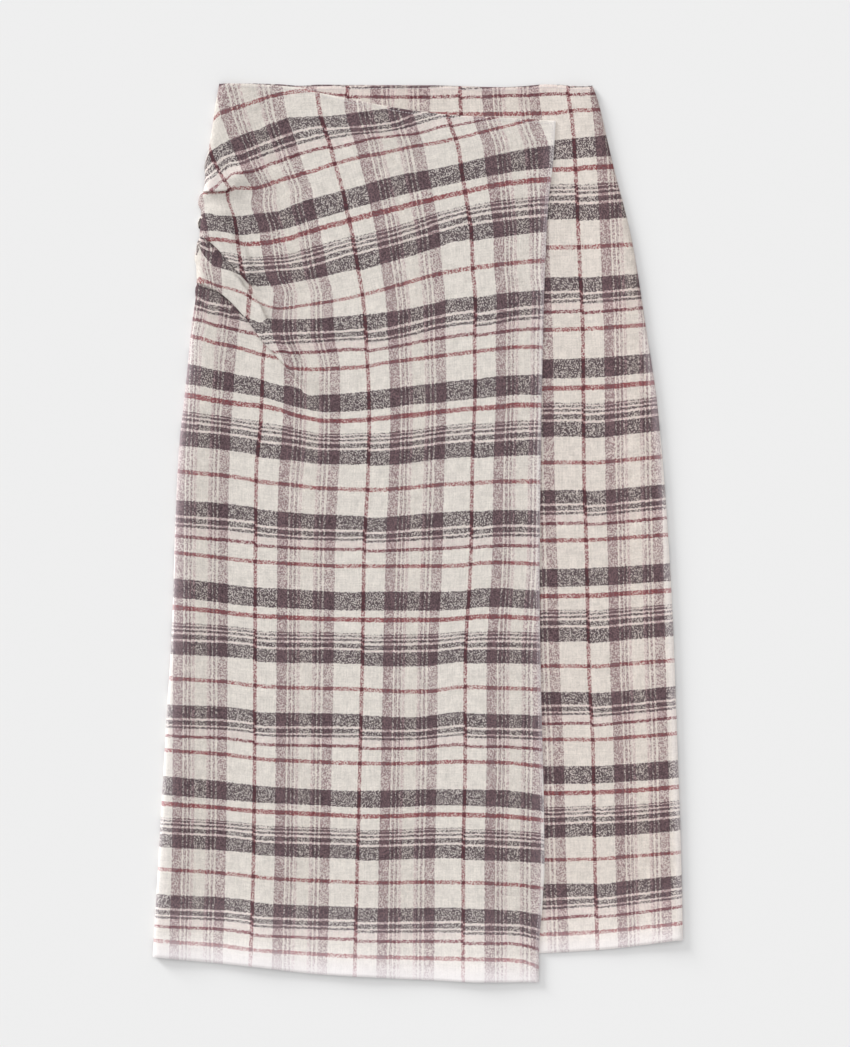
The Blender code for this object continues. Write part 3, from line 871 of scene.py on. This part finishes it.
def over_column(share, turn):
    """One column of the over front from its waist edge over the three pleats to the hem.

    Each point comes with its distance across as cloth, its layer and its share of that layer's pleat.
    """
    downs, lifts, layers, parts = [], [], [], []
    top = hem = 0
    for _ in range(SETTLE_ROUNDS):
        top = read(OVER_WAIST, "across", "down", over_across(share, turn, top))
        hem = read(OVER_HEM, "across", "down", over_across(share, turn, hem))
    last, shown = top, []
    for layer, (pleat, rows) in enumerate(zip(PLEATS, OVER_ROWS)):
        edge = pleat[0].down
        for _ in range(PLEAT_ROUNDS):
            edge = pleat_at(pleat, over_across(share, turn, edge))[0]
        edge, depth, turn_back, step, slant = pleat_at(pleat, over_across(share, turn, edge))
        forward, height = pleat_section(depth, turn_back, step)
        section = edge + forward / slant
        reach = section[0] - depth / slant - LIFT_REACH
        start = shown[-1] if shown else last
        lift_start = max(reach - LIFT_FADE, start + LEAST_RUN * (reach - start))
        run = start + (lift_start - start) * np.arange(rows) / rows
        run = np.concatenate([shown[:-1], run, np.linspace(lift_start, reach, LIFT_ROWS)])
        lift = height[0] * (1 - smooth((reach - run) / (reach - lift_start)))
        cloth = np.concatenate([[0], np.cumsum(np.hypot(np.diff(section), np.diff(height)))])
        outermost = cloth[BEND_STEPS // 2]
        downs += [run, section[:-1]]
        lifts += [lift, height[:-1]]
        parts += [0 * run, np.clip((cloth[:-1] - outermost) / (cloth[-1] - outermost), 0, 1)]
        layers += [np.full(len(run) + len(section) - 1, layer)]
        last = section[-1]
        shown = [last, max(edge, last) + EDGE_ROW]
    run = shown[-1] + (hem - shown[-1]) * np.linspace(0, 1, OVER_ROWS[-1] + 1)
    run = np.append(last, run)
    downs = np.concatenate(downs + [run])
    lifts = np.concatenate(lifts + [0 * run])
    layers = np.concatenate(layers + [np.full(len(run), len(PLEATS))])
    parts = np.concatenate(parts + [0 * run])
    across = over_across(share, turn, downs)
    height = ROLL_FOOT + (over_level(across, downs) - ROLL_FOOT + lifts) * np.cos(turn)
    cloth_across = across + ROLL_WIDTH * (np.sin(turn) - turn)
    across = across - SIDE_LIFT * lifts * np.sin(turn)
    return np.stack([across, downs, height, cloth_across, layers, parts], axis=1)


OVER_STRIPES = marks(
    Stripe,
    {
        -1: [(60, 84), (80, 120), (96, 152), (118, 184)],
        0: [(186, 84), (191, 100), (197, 120), (204, 138), (210, 152), (212, 158), (216, 166), (220, 174),
            (226, 183), (229.5, 189)],
        1: [(316.5, 88), (319.1, 110), (321.5, 120), (324.6, 130), (328, 140), (331, 150), (334.4, 163),
            (339.4, 180), (342.9, 193), (346.4, 209), (351, 230), (355.5, 255), (358, 270), (361.5, 290),
            (364, 310), (365.3, 330), (366.5, 350), (368.3, 390), (369, 420), (368, 470), (364, 550),
            (362, 670), (360, 750), (357, 870), (355, 945), (354, 985)],
        2: [(446, 110), (452, 130), (457.5, 145), (462.8, 180), (464.8, 190), (467.8, 210), (471.2, 230),
            (472, 250), (472.7, 270), (474.7, 290), (475.3, 310), (474.3, 340), (475, 390), (474, 420),
            (472, 470), (471, 550), (465, 670), (465, 750), (463, 870), (463, 945), (463, 985)],
        3: [(568, 110), (576, 130), (581.5, 145), (582.5, 180), (581, 220), (579, 270), (581, 300),
            (580, 340), (577, 470), (576, 550), (571, 670), (571, 750), (569, 870), (569, 985)],
    },
    {
        -1: [(118, 192), (126, 220), (133, 262)],
        0: [(227, 192), (227.5, 198), (229, 204), (232, 212), (234.5, 220), (236, 230), (237, 240),
            (238.5, 250), (240, 262), (242, 273)],
    },
    {
        -1: [(146.6, 241), (148, 260)],
        0: [(251, 285), (250.3, 290), (248.7, 297), (247.5, 306), (247.3, 317)],
    },
    {
        -1: [(160, 256), (171, 278), (165.5, 319), (159.5, 344), (159.3, 394), (155, 470), (153.5, 550),
            (152, 700), (151.5, 850), (149, 940), (148, 980)],
        0: [(264.5, 344), (263.5, 352), (262.2, 365), (261.8, 385), (260.5, 420), (256, 470), (255, 550),
            (254.5, 700), (253.5, 850), (251, 940), (249.5, 980)],
    },
)

OVER_CROSSINGS = marks(
    Crossing,
    {
        -125: [(180, 105), (214, 88), (220, 85.5), (226, 83.5), (240, 78), (300, 66), (565, 40)],
        -101.6: [(180, 140), (200, 126), (214, 117.5), (220, 113), (230, 109.5), (240, 106.5), (250, 103),
            (260, 99.5), (270, 96), (280, 94), (290, 92), (300, 90.8), (330, 88), (400, 82), (565, 60)],
        -76: [(180, 200), (200, 170), (205, 159), (210, 151), (215, 148), (220, 144.3), (225, 141.5),
            (230, 139.5), (240, 135), (250, 131), (260, 128.5), (270, 123), (280, 120), (290, 117),
            (300, 116.7), (320, 116), (345, 113.4), (370, 110), (400, 106), (440, 99), (500, 86), (565, 73)],
        -62.5: [(180, 212), (200, 181), (205, 172), (210, 166), (215, 161), (220, 157), (230, 153),
            (240, 150), (250, 147), (260, 143), (270, 139.5), (280, 136), (290, 133), (300, 130),
            (320, 126.5), (350, 125.5), (390, 122.3), (413, 114.5), (440, 108), (500, 98), (565, 84)],
        -51.8: [(180, 212), (200, 192), (204, 188), (210, 183.5), (217, 177.5), (222, 172), (226, 167.8),
            (230, 166.2), (240, 165), (250, 161), (260, 157), (270, 153.5), (280, 150.5), (290, 147.5),
            (300, 144.5), (320, 140), (350, 134.5), (380, 132.5), (398, 130), (440, 119), (500, 108),
            (565, 93)],
        -43.5: [(212, 190.5), (218, 187), (224, 183), (227, 179.5), (231, 174.3), (235, 172.6), (242, 172.2),
            (250, 171), (255, 170), (260, 168), (270, 163.5), (280, 160.5), (290, 157), (300, 154),
            (310, 151), (320, 149), (340, 145.5), (357, 141.5), (371, 137.5), (389, 135.7), (416, 133.9),
            (440, 127.7), (500, 116), (565, 101)],
        -27.7: [(228, 191.3), (232, 190.8), (236, 189), (240, 188.3), (250, 188), (260, 187), (265, 185.5),
            (270, 183.5), (280, 180), (290, 177), (300, 174), (310, 171.5), (330, 164.7), (358, 157.1),
            (380, 153.1), (411, 146.4), (440, 141.5), (500, 127), (535, 118), (565, 112)],
    },
    {
        0: [(180, 221), (197, 216), (205, 213), (210, 213.5), (215, 215.3), (220, 216), (240, 216),
            (250, 214.5), (260, 213), (270, 212), (280, 210.5), (290, 206), (300, 202), (340, 191),
            (366, 184), (398, 175), (440, 167.5), (500, 153.8), (545, 146), (565, 144.5)],
        17.5: [(180, 229), (200, 230.5), (207, 231), (215, 231), (222, 232), (230, 234.5), (240, 235),
            (250, 233.7), (260, 232.5), (270, 231), (280, 229), (290, 227), (300, 224), (340, 212),
            (368, 203.6), (400, 195), (440, 186), (500, 173.7), (520, 170.5), (535, 168.7), (553, 167.8),
            (565, 167.5)],
        26.7: [(200, 238.5), (207, 239.5), (220, 240), (230, 240.7), (236, 242), (240, 243.5), (250, 244),
            (260, 243), (270, 242), (280, 240), (290, 238), (300, 234), (350, 219.5), (380, 212),
            (460, 192.5), (500, 184), (530, 180.5), (553, 178.7), (565, 178)],
        47.1: [(231, 257.5), (240, 261), (250, 261.7), (270, 261.5), (280, 261), (300, 257.5), (320, 252.5),
            (360, 242), (400, 232), (440, 218.5), (470, 211), (500, 206.7), (520, 205), (540, 203.7),
            (565, 203)],
        58.5: [(238, 270), (245, 272.5), (250, 272.7), (260, 271.5), (270, 270.5), (280, 270), (300, 269),
            (320, 264.5), (340, 258), (360, 252.5), (400, 243), (440, 232.2), (450, 229.5), (470, 224.7),
            (490, 221.5), (500, 220.2), (520, 218.5), (540, 217), (565, 216)],
        72.5: [(251, 284.8), (256, 285.5), (270, 285.3), (280, 284), (300, 281), (320, 277.5), (340, 273),
            (360, 269.5), (380, 264), (400, 259), (440, 246.5), (450, 243), (470, 240), (490, 237.8),
            (500, 236.5), (520, 234.5), (540, 232.5), (565, 231.5)],
    },
    {
        48: [(196, 236.2), (200, 237.2), (204, 238.6)],
        51.2: [(196, 239.4), (200, 240.6), (204, 241.8), (208, 243)],
        56.4: [(196, 242.6), (200, 244.6), (205, 247), (210, 249.6)],
        58.5: [(196, 244), (200, 246.4), (205, 249.8), (210, 251.3), (215, 252.5)],
        72.5: [(198, 243), (203, 254), (207, 260), (210, 263), (214, 267), (220, 268.7), (225, 270.5),
            (230, 271.7), (236, 274), (241, 275.5)],
        95.9: [(190, 270), (205, 279.5), (211, 282.5), (215, 284), (220, 285), (230, 287.3), (240, 290.5),
            (245, 293.3), (248, 295.5), (251, 298), (260, 303), (265, 305.5), (271, 307.5), (280, 309),
            (290, 308.3), (300, 306.3), (320, 303.5), (340, 300), (350, 298), (360, 295.5), (380, 290.5),
            (400, 284.5), (440, 273.5), (500, 264.3), (540, 260.7), (565, 260)],
        121.5: [(246, 317.5), (260, 317.2), (270, 318), (280, 318.5), (300, 318.5), (320, 318), (335, 316.5),
            (350, 315.5), (365, 313.5), (380, 312), (400, 309.5), (440, 301.5), (450, 298.8), (460, 297.7),
            (480, 296), (500, 292.6), (520, 290.8), (540, 289.8), (565, 289.5)],
        135: [(256, 331.7), (270, 332), (280, 332), (300, 331.5), (340, 331), (360, 329.5), (380, 327.5),
            (400, 324), (440, 315.3), (460, 312.3), (480, 310.8), (500, 308.3), (520, 306.3), (540, 305.3),
            (565, 305)],
        145.7: [(263, 343), (270, 344), (280, 344.3), (300, 343), (320, 342.3), (350, 341), (370, 341),
            (400, 337.5), (440, 329), (460, 326.3), (480, 325), (500, 322.3), (520, 320), (540, 319.3),
            (565, 319)],
        154: [(272, 351), (280, 352.5), (300, 352.2), (320, 351.5), (335, 350.5), (350, 349.8), (362, 350),
            (380, 348), (400, 345), (418, 341.5), (440, 338.5), (460, 335.7), (480, 333.8), (500, 331.3),
            (520, 329), (540, 328.5), (565, 328)],
        169.8: [(284, 365.5), (288, 368.3), (300, 369.2), (320, 369), (335, 368.5), (350, 367.5),
            (362, 366.7), (380, 363.5), (400, 360.5), (418, 358.5), (440, 355.7), (460, 353.3), (480, 350.7),
            (500, 348.3), (520, 346.7), (540, 346.7), (565, 346.5)],
    },
    {
        121.5: [(180, 278), (197, 283), (200, 285), (205, 287), (210, 288.5), (218, 291)],
        135: [(180, 292), (200, 297), (205, 300.5), (210, 302), (215, 303), (225, 305), (232, 306.5)],
        145.7: [(180, 305), (196, 310), (200, 310.7), (205, 312), (210, 314), (220, 315.7), (230, 318.5),
            (240, 321.5), (247, 322.7)],
        154: [(180, 315), (194, 318.5), (200, 319.6), (205, 321), (208, 322.2), (212, 324.3), (220, 326),
            (230, 328.2), (240, 331), (250, 333.3), (256, 335)],
        169.8: [(180, 333), (191, 336), (200, 338), (205, 339.3), (210, 341), (215, 342.7), (220, 343.7),
            (230, 345.5), (240, 348), (250, 351), (260, 354.2), (270, 356), (278, 358.5)],
        197.5: [(150, 357), (188, 364), (200, 366), (210, 369), (215, 370), (220, 371), (230, 372.5),
            (240, 375.3), (250, 376.5), (260, 379), (270, 382.5), (280, 385), (290, 386), (297, 388),
            (305, 391), (310, 393.5), (320, 394.3), (340, 393.8), (360, 392), (380, 389.5), (400, 387.3),
            (418, 385), (440, 382.7), (460, 380), (480, 378.3), (500, 375.8), (520, 375), (540, 374.2),
            (565, 374)],
        215: [(150, 378), (187, 384), (200, 385.5), (210, 387.5), (220, 389.5), (235, 392), (265, 397.5),
            (280, 402), (290, 405.5), (300, 407.5), (310, 409.5), (320, 411.3), (330, 412), (350, 411),
            (370, 409.8), (400, 406), (418, 403.5), (440, 402.3), (460, 400), (480, 398.2), (500, 396),
            (520, 394.4), (540, 394.6), (565, 395)],
        224.2: [(150, 388), (185, 394.5), (235, 403.3), (265, 406), (280, 409), (290, 412.7), (300, 416),
            (310, 418), (320, 420), (340, 421), (360, 420), (380, 418), (400, 416), (418, 414.5),
            (440, 411.3), (460, 409.3), (480, 407.8), (500, 406.2), (520, 404.6), (540, 405), (565, 406)],
        256: [(150, 425), (182, 430), (235, 436.5), (265, 442.5), (290, 445), (300, 446.5), (310, 448.5),
            (320, 450), (350, 450.5), (380, 450), (400, 449), (440, 444.5), (460, 443), (500, 440.7),
            (530, 439.7), (565, 440)],
        319: [(150, 496), (177, 499.4), (222, 503), (250, 506.7), (265, 509), (290, 511.7), (320, 514),
            (350, 515.6), (370, 516.8), (400, 515.2), (440, 512.2), (480, 510.3), (500, 509.2), (520, 509.5),
            (540, 510.5), (565, 511)],
        332.5: [(150, 511), (177, 514.2), (222, 518.4), (250, 522), (300, 528.3), (350, 530.6), (380, 530.8),
            (400, 529.8), (440, 528), (480, 525.5), (500, 524), (520, 524.3), (540, 525.3), (565, 526)],
        367.3: [(150, 550), (175, 552.4), (223, 557.8), (250, 561), (300, 564), (350, 566), (440, 566),
            (460, 565.6), (470, 564.3), (482, 562.7), (500, 562.3), (520, 563), (540, 564), (565, 565)],
        395: [(150, 576), (174, 578.6), (200, 580.8), (223, 583.4), (250, 587), (265, 587.8), (285, 588.5),
            (300, 589.8), (320, 591), (350, 592.4), (380, 591.6), (440, 591.8), (460, 591), (470, 590),
            (480, 588.2), (500, 588), (520, 589.4), (540, 590.3), (565, 591)],
        412.7: [(150, 595), (174, 597.5), (200, 600), (223, 603), (250, 606.3), (285, 608), (330, 610),
            (380, 610.6), (440, 610.6), (465, 609), (480, 607.2), (500, 607), (520, 608), (540, 609),
            (565, 610)],
        453.5: [(150, 639), (171, 640.5), (223, 643.3), (250, 646), (265, 648.3), (285, 649.2), (330, 650),
            (350, 651), (400, 652.2), (430, 652.1), (445, 650.8), (462, 649.3), (480, 649), (500, 649.2),
            (520, 650), (540, 650.7), (565, 651.5)],
        467.7: [(150, 652), (171, 653.8), (200, 655.5), (223, 657.3), (250, 659.8), (265, 661.7),
            (285, 662.5), (330, 663.7), (350, 664.6), (400, 666.4), (430, 666.3), (445, 664.8), (462, 663),
            (480, 663), (500, 663.2), (540, 664.7), (565, 666)],
        490.8: [(150, 676.5), (168, 678), (200, 680), (223, 681.4), (250, 685), (265, 686.3), (285, 687.5),
            (330, 688.5), (360, 689.2), (380, 690.3), (410, 691.6), (430, 691.3), (440, 690), (455, 687.5),
            (465, 686.8), (480, 687.3), (500, 688), (520, 688.4), (540, 689.4), (565, 690.5)],
        516.5: [(150, 702), (168, 703.9), (223, 706.5), (250, 710), (265, 711.7), (300, 712.7), (340, 713.5),
            (370, 715), (400, 716.8), (415, 716.9), (430, 715.7), (445, 713.4), (462, 712), (480, 713),
            (500, 713.7), (540, 715.5), (565, 717)],
        592.5: [(150, 775), (163, 776), (224, 781.6), (250, 784.8), (265, 786.5), (300, 788.5), (350, 791),
            (440, 789.5), (500, 790), (520, 792), (545, 796), (565, 800)],
        610.2: [(150, 793.5), (162, 794.6), (224, 799.8), (250, 802), (290, 804), (330, 806), (360, 807.7),
            (400, 807.2), (430, 805.6), (450, 805.6), (500, 807), (520, 808.5), (545, 812), (565, 816)],
        651: [(150, 832), (159, 832.8), (224, 837.2), (250, 840.5), (265, 842), (300, 843.8), (350, 845.8),
            (380, 846.4), (400, 846.2), (440, 845.5), (480, 846), (500, 847.2), (520, 848.5), (545, 850.8),
            (565, 853)],
        665.2: [(150, 845), (160, 846.3), (180, 848), (200, 849.5), (224, 851.3), (250, 853.8), (300, 857.5),
            (340, 859.2), (360, 860.2), (400, 859.6), (430, 859), (480, 859.8), (500, 861), (520, 862.2),
            (545, 864.3), (565, 866.5)],
        714: [(140, 891), (155, 893), (224, 897.5), (250, 900.5), (265, 902.5), (300, 904.8), (350, 906.8),
            (400, 907.7), (440, 907.8), (480, 908.2), (500, 909.3), (520, 910.8), (530, 912.8), (545, 916),
            (565, 920)],
        762.3: [(140, 938), (152, 939.9), (224, 945.8), (250, 949.5), (300, 952.9), (350, 956), (400, 957.4),
            (440, 958.5), (500, 959.5), (520, 961), (530, 963.5), (545, 970), (565, 978)],
    },
)

# Where the plaid goes under each pleat's edge and where it comes out again
Tuck = namedtuple("Tuck", "across above below")
TUCKS = [
    table(
        Tuck,
        (195, -50, -30), (205, -47.5, -29.5), (212, -43.5, -29), (220, -38, -28.7), (228, -27.8, -27.7),
        (236, -25, -24.9),
    ),
    table(
        Tuck,
        (195, 20, 44), (200, 22.5, 46), (204, 24, 47.5), (208, 27.5, 50), (212, 31, 53.5), (216, 35.5, 56.5),
        (220, 39.5, 58), (230, 51.5, 63), (240, 60.5, 69), (250, 72, 82), (256, 78, 82), (262, 83, 83.5),
    ),
    table(
        Tuck,
        (195, 95, 117), (200, 97, 119), (205, 99, 119.7), (211, 101, 121), (218, 102.3, 121.5),
        (225, 107, 127), (230, 112, 132), (235, 116, 136.5), (240, 119.5, 139), (246, 122, 141.5),
        (250, 127, 146), (255, 134, 150.5), (260, 140, 154.5), (265, 146.5, 159), (270, 152.5, 164),
        (278, 161, 169.7), (283, 168.5, 178), (288, 172, 183.5), (295, 179.5, 189), (300, 186, 192),
        (306, 195, 197),
    ),
]


def tucked(across):
    """The plaid's places just above and just below each pleat's edge, where it has one."""
    for layer, (pleat, tucks) in enumerate(zip(PLEATS, TUCKS)):
        keys = [row.across - VIEW_MIDDLE for row in tucks]
        edge = read(pleat, "across", "down", across)
        for part, column in enumerate(("above", "below")):
            at = edge + hidden_cloth(layer + part, across)
            yield (np.where((across < keys[0]) | (across > keys[-1]), np.inf, at),
                   follow(keys, [getattr(row, column) for row in tucks], across))


over_columns = [over_column(0, np.radians(angle)) for angle in ROLL_ANGLES]
over_columns += [over_column(share, 0) for share in OVER_SHARES]
over_cloth = np.stack(over_columns, axis=1)
over_grid = over_cloth[:, :, :3]
over_place, over_layer, over_part = over_cloth[:, :, 3], over_cloth[:, :, 4], over_cloth[:, :, 5]
over_down = over_grid[:, :, 1]
over_unfolded = over_down.copy()
for layer in range(len(PLEATS)):
    taken = hidden_cloth(layer + 1, over_place) - hidden_cloth(layer, over_place)
    over_unfolded += taken * np.where(over_layer > layer, 1, np.where(over_layer == layer, over_part, 0))
over_bands = weave_along(over_place, over_unfolded, OVER_CROSSINGS, hidden_cloth, tucked(over_place))
over_weave = np.stack([
    weave_across(over_place, over_unfolded, OVER_STRIPES, hidden_cloth),
    over_bands / CROSSWISE_REPEAT,
], axis=2)
over_fall = read(OVER_HEM, "across", "down", over_place) - over_down
over_wrap = read(WRAP_EDGE, "down", "across", over_down) - over_place
over_side = over_place - read(SIDES, "down", "left", over_down)
from_knuckle = (((over_place - KNUCKLE.across) / KNUCKLE_SIZE.across) ** 2
                + ((over_down - KNUCKLE.down) / KNUCKLE_SIZE.down) ** 2)
# Painted highlight: the hem, the free edge, the left side's roll from the hip down, and the first pleat's
# knuckle
over_highlight = np.max([
    edge_highlight(over_fall, OVER_HEM_HIGHLIGHT),
    edge_highlight(over_wrap, WRAP_EDGE_HIGHLIGHT),
    edge_highlight(over_side, LEFT_EDGE_HIGHLIGHT) * below_hip(over_down),
    KNUCKLE_HIGHLIGHT * np.exp(-from_knuckle) * (over_layer == 0),
], axis=0)
over_plaid = weave_plaid("over_front_plaid", tint=(255, 253, 251), seed=5.0)
over = lay_cloth("over_front_cloth", over_grid, over_weave, over_highlight, over_plaid)
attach(over, "root")
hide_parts("front_over_panel")

# The stitching: a line of fine topstitching runs a few millimetres in from the waist edges and from the free
# edge of the over front. Each stitch is a short rounded bar that sinks a little into the nap.

STITCH_INSET = 2.8
STITCH_SIZES = {"Length": 2.4, "Pitch": 3.1, "Width": 0.55, "Height": 0.32}
STITCH_TURN = (0.02, 0.02, 0.07)
STITCH_SEED = 4
STITCH_NODES = (
    "NodeGroupInput", "GeometryNodeMeshToCurve", "GeometryNodeResampleCurve", "GeometryNodeMeshUVSphere",
    "ShaderNodeCombineXYZ", "GeometryNodeTransform", "GeometryNodeInputTangent",
    "FunctionNodeAlignRotationToVector", "FunctionNodeRandomValue", "FunctionNodeRotateRotation",
    "GeometryNodeInstanceOnPoints", "GeometryNodeRealizeInstances", "GeometryNodeSetShadeSmooth",
    "GeometryNodeSetMaterial", "NodeGroupOutput",
)
TWIST_SCALE = 900.0
THREAD_RELIEF = 0.0002
THREAD_TONES = ((196, 186, 190), (222, 215, 214))
# Rows and columns of the cloth that reach in past the stitching
WAIST_REACH = 12
EDGE_REACH = 6
CORNER_GAP = 1


def inset_line(runs, inset):
    """Follows a row of runs over the cloth, each one at the same distance from its own start."""
    points = []
    for run in runs:
        length = np.concatenate([[0], np.cumsum(np.linalg.norm(np.diff(run, axis=0), axis=1))])
        points.append([np.interp(inset, length, run[:, axis]) for axis in range(3)])
    return np.array(points)


def stitch_tree(thread):
    """A tree that lays stitches along a line."""
    tree = bpy.data.node_groups.new("topstitch", "GeometryNodeTree")
    face = tree.interface
    face.new_socket("Geometry", in_out="INPUT", socket_type="NodeSocketGeometry")
    for name, value in STITCH_SIZES.items():
        socket = face.new_socket(name, in_out="INPUT", socket_type="NodeSocketFloat")
        socket.default_value = value * MILLIMETRE
    face.new_socket("Geometry", in_out="OUTPUT", socket_type="NodeSocketGeometry")
    into, line, spaced, bar, size, sized, tangent, aim, uneven, turned, place, real, smoothed, coat, out = (
        tree.nodes.new(kind) for kind in STITCH_NODES)
    spaced.mode = "LENGTH"
    aim.axis = "X"
    uneven.data_type = "FLOAT_VECTOR"
    for node, name, value in (
        (bar, "Segments", 8),
        (bar, "Rings", 6),
        (bar, "Radius", 0.5),
        (uneven, "Min", tuple(-angle for angle in STITCH_TURN)),
        (uneven, "Max", STITCH_TURN),
        (uneven, "Seed", STITCH_SEED),
        (coat, "Material", thread),
    ):
        node.inputs[name].default_value = value
    for source, given, target, taken in (
        (into, "Geometry", line, "Mesh"),
        (line, "Curve", spaced, "Curve"),
        (into, "Pitch", spaced, "Length"),
        (into, "Length", size, "X"),
        (into, "Width", size, "Y"),
        (into, "Height", size, "Z"),
        (bar, "Mesh", sized, "Geometry"),
        (size, 0, sized, "Scale"),
        (tangent, 0, aim, "Vector"),
        (aim, 0, turned, "Rotation"),
        (uneven, "Value", turned, "Rotate By"),
        (spaced, "Curve", place, "Points"),
        (sized, "Geometry", place, "Instance"),
        (turned, 0, place, "Rotation"),
        (place, "Instances", real, "Geometry"),
        (real, "Geometry", smoothed, "Geometry"),
        (smoothed, "Geometry", coat, "Geometry"),
        (coat, "Geometry", out, "Geometry"),
    ):
        tree.links.new(source.outputs[given], target.inputs[taken])
    return tree


def twist_thread():
    """Ivory sewing thread, with its twist and uneven dye."""
    make = Weaving("sewing_thread")
    place = make.tree.nodes.new("ShaderNodeTexCoord").outputs["Object"]
    twist = make.noise(place, TWIST_SCALE, 2)
    colour = make.blend(twist, *map(tone, THREAD_TONES))
    return make.finish(colour, twist, THREAD_RELIEF, Roughness=0.75, Sheen_Weight=0.1)


def sew(name, points, tree):
    """Sews one line of topstitching over the cloth."""
    points = (points * np.array([1, -1, 1]) + np.array([0, WAIST_Y, WALL / 2])) * MILLIMETRE
    mesh = bpy.data.meshes.new(name)
    mesh.from_pydata(points.tolist(), [(number, number + 1) for number in range(len(points) - 1)], [])
    path = bpy.data.objects.new(name, mesh)
    bpy.context.collection.objects.link(path)
    laid = path.modifiers.new("topstitch", "NODES")
    laid.node_group = tree
    for item in tree.interface.items_tree:
        if item.in_out == "INPUT" and item.socket_type == "NodeSocketFloat":
            laid[item.identifier] = item.default_value
    baked = bpy.data.meshes.new_from_object(path.evaluated_get(bpy.context.evaluated_depsgraph_get()))
    path.modifiers.remove(laid)
    path.data = baked
    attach(path, "root")


topstitch = stitch_tree(twist_thread())
over_face = over_grid[:, len(ROLL_ANGLES):]
waist_line = inset_line(over_face[:WAIST_REACH].swapaxes(0, 1), STITCH_INSET)
edge_line = inset_line(over_face[:, ::-1][:, :EDGE_REACH], STITCH_INSET)
corner_across = edge_line[0, 0]
waist_line = waist_line[waist_line[:, 0] < corner_across]
edge_line = edge_line[edge_line[:, 1] > waist_line[-1, 1] + CORNER_GAP]
sew("over_front_topstitch", np.concatenate([waist_line, edge_line]), topstitch)
under_face = under_grid[:, :-len(ROLL_ANGLES)]
under_line = inset_line(under_face[:WAIST_REACH].swapaxes(0, 1), STITCH_INSET)
sew("under_front_topstitch", under_line, topstitch)

# The surface: a plain pale board, larger than any view of it, with the skirt lying on it.

BOARD_SIZE = 14
bpy.ops.mesh.primitive_plane_add(size=BOARD_SIZE, location=(0, 0, 0))
floor = bpy.context.object
floor.name = "pale_floor"
board = bpy.data.materials.new("pale_board")
board.use_nodes = True
finish = board.node_tree.nodes["Principled BSDF"]
finish.inputs["Base Color"].default_value = (0.87, 0.87, 0.87, 1)
finish.inputs["Roughness"].default_value = 0.8
finish.inputs["Specular IOR Level"].default_value = 0.1
floor.data.materials.append(board)

# The light: a low soft light from the upper left that draws the folds and a faint shadow on the right and
# below, a weaker high one, and even light from all round.


def far_light(name, strength, spread, height, side):
    """A far light at an angle of height above the surface, and at an angle to the left of the top."""
    lamp = bpy.data.lights.new(name, "SUN")
    lamp.energy = strength
    lamp.angle = np.radians(spread)
    light = bpy.data.objects.new(name, lamp)
    light.rotation_euler = (np.radians(height - 90), 0, np.radians(side))
    bpy.context.collection.objects.link(light)


far_light("low_light", strength=2.9, spread=20, height=14, side=45)
far_light("high_light", strength=0.6, spread=50, height=60, side=20)
world = bpy.data.worlds.new("even_light")
world.use_nodes = True
world.node_tree.nodes["Background"].inputs["Color"].default_value = (1, 1, 1, 1)
world.node_tree.nodes["Background"].inputs["Strength"].default_value = 0.6
bpy.context.scene.world = world
bpy.context.scene.view_settings.view_transform = "Standard"

# The camera: straight above, far enough away that the skirt shows without perspective.

VIEW_WIDTH, VIEW_HEIGHT = 850, 1047
CAMERA_HEIGHT = 2.6
CLOTH_TOP = 0.005
FILM_WIDTH = 36
lens = bpy.data.cameras.new("overhead_camera")
lens.sensor_width = FILM_WIDTH
lens.lens = FILM_WIDTH * (CAMERA_HEIGHT - CLOTH_TOP) / (VIEW_HEIGHT * MILLIMETRE)
camera = bpy.data.objects.new("overhead_camera", lens)
camera.location = (
    (VIEW_WIDTH / 2 - VIEW_MIDDLE) * MILLIMETRE,
    (WAIST_Y - (VIEW_HEIGHT / 2 - VIEW_WAIST)) * MILLIMETRE,
    CAMERA_HEIGHT,
)
bpy.context.collection.objects.link(camera)
bpy.context.scene.camera = camera
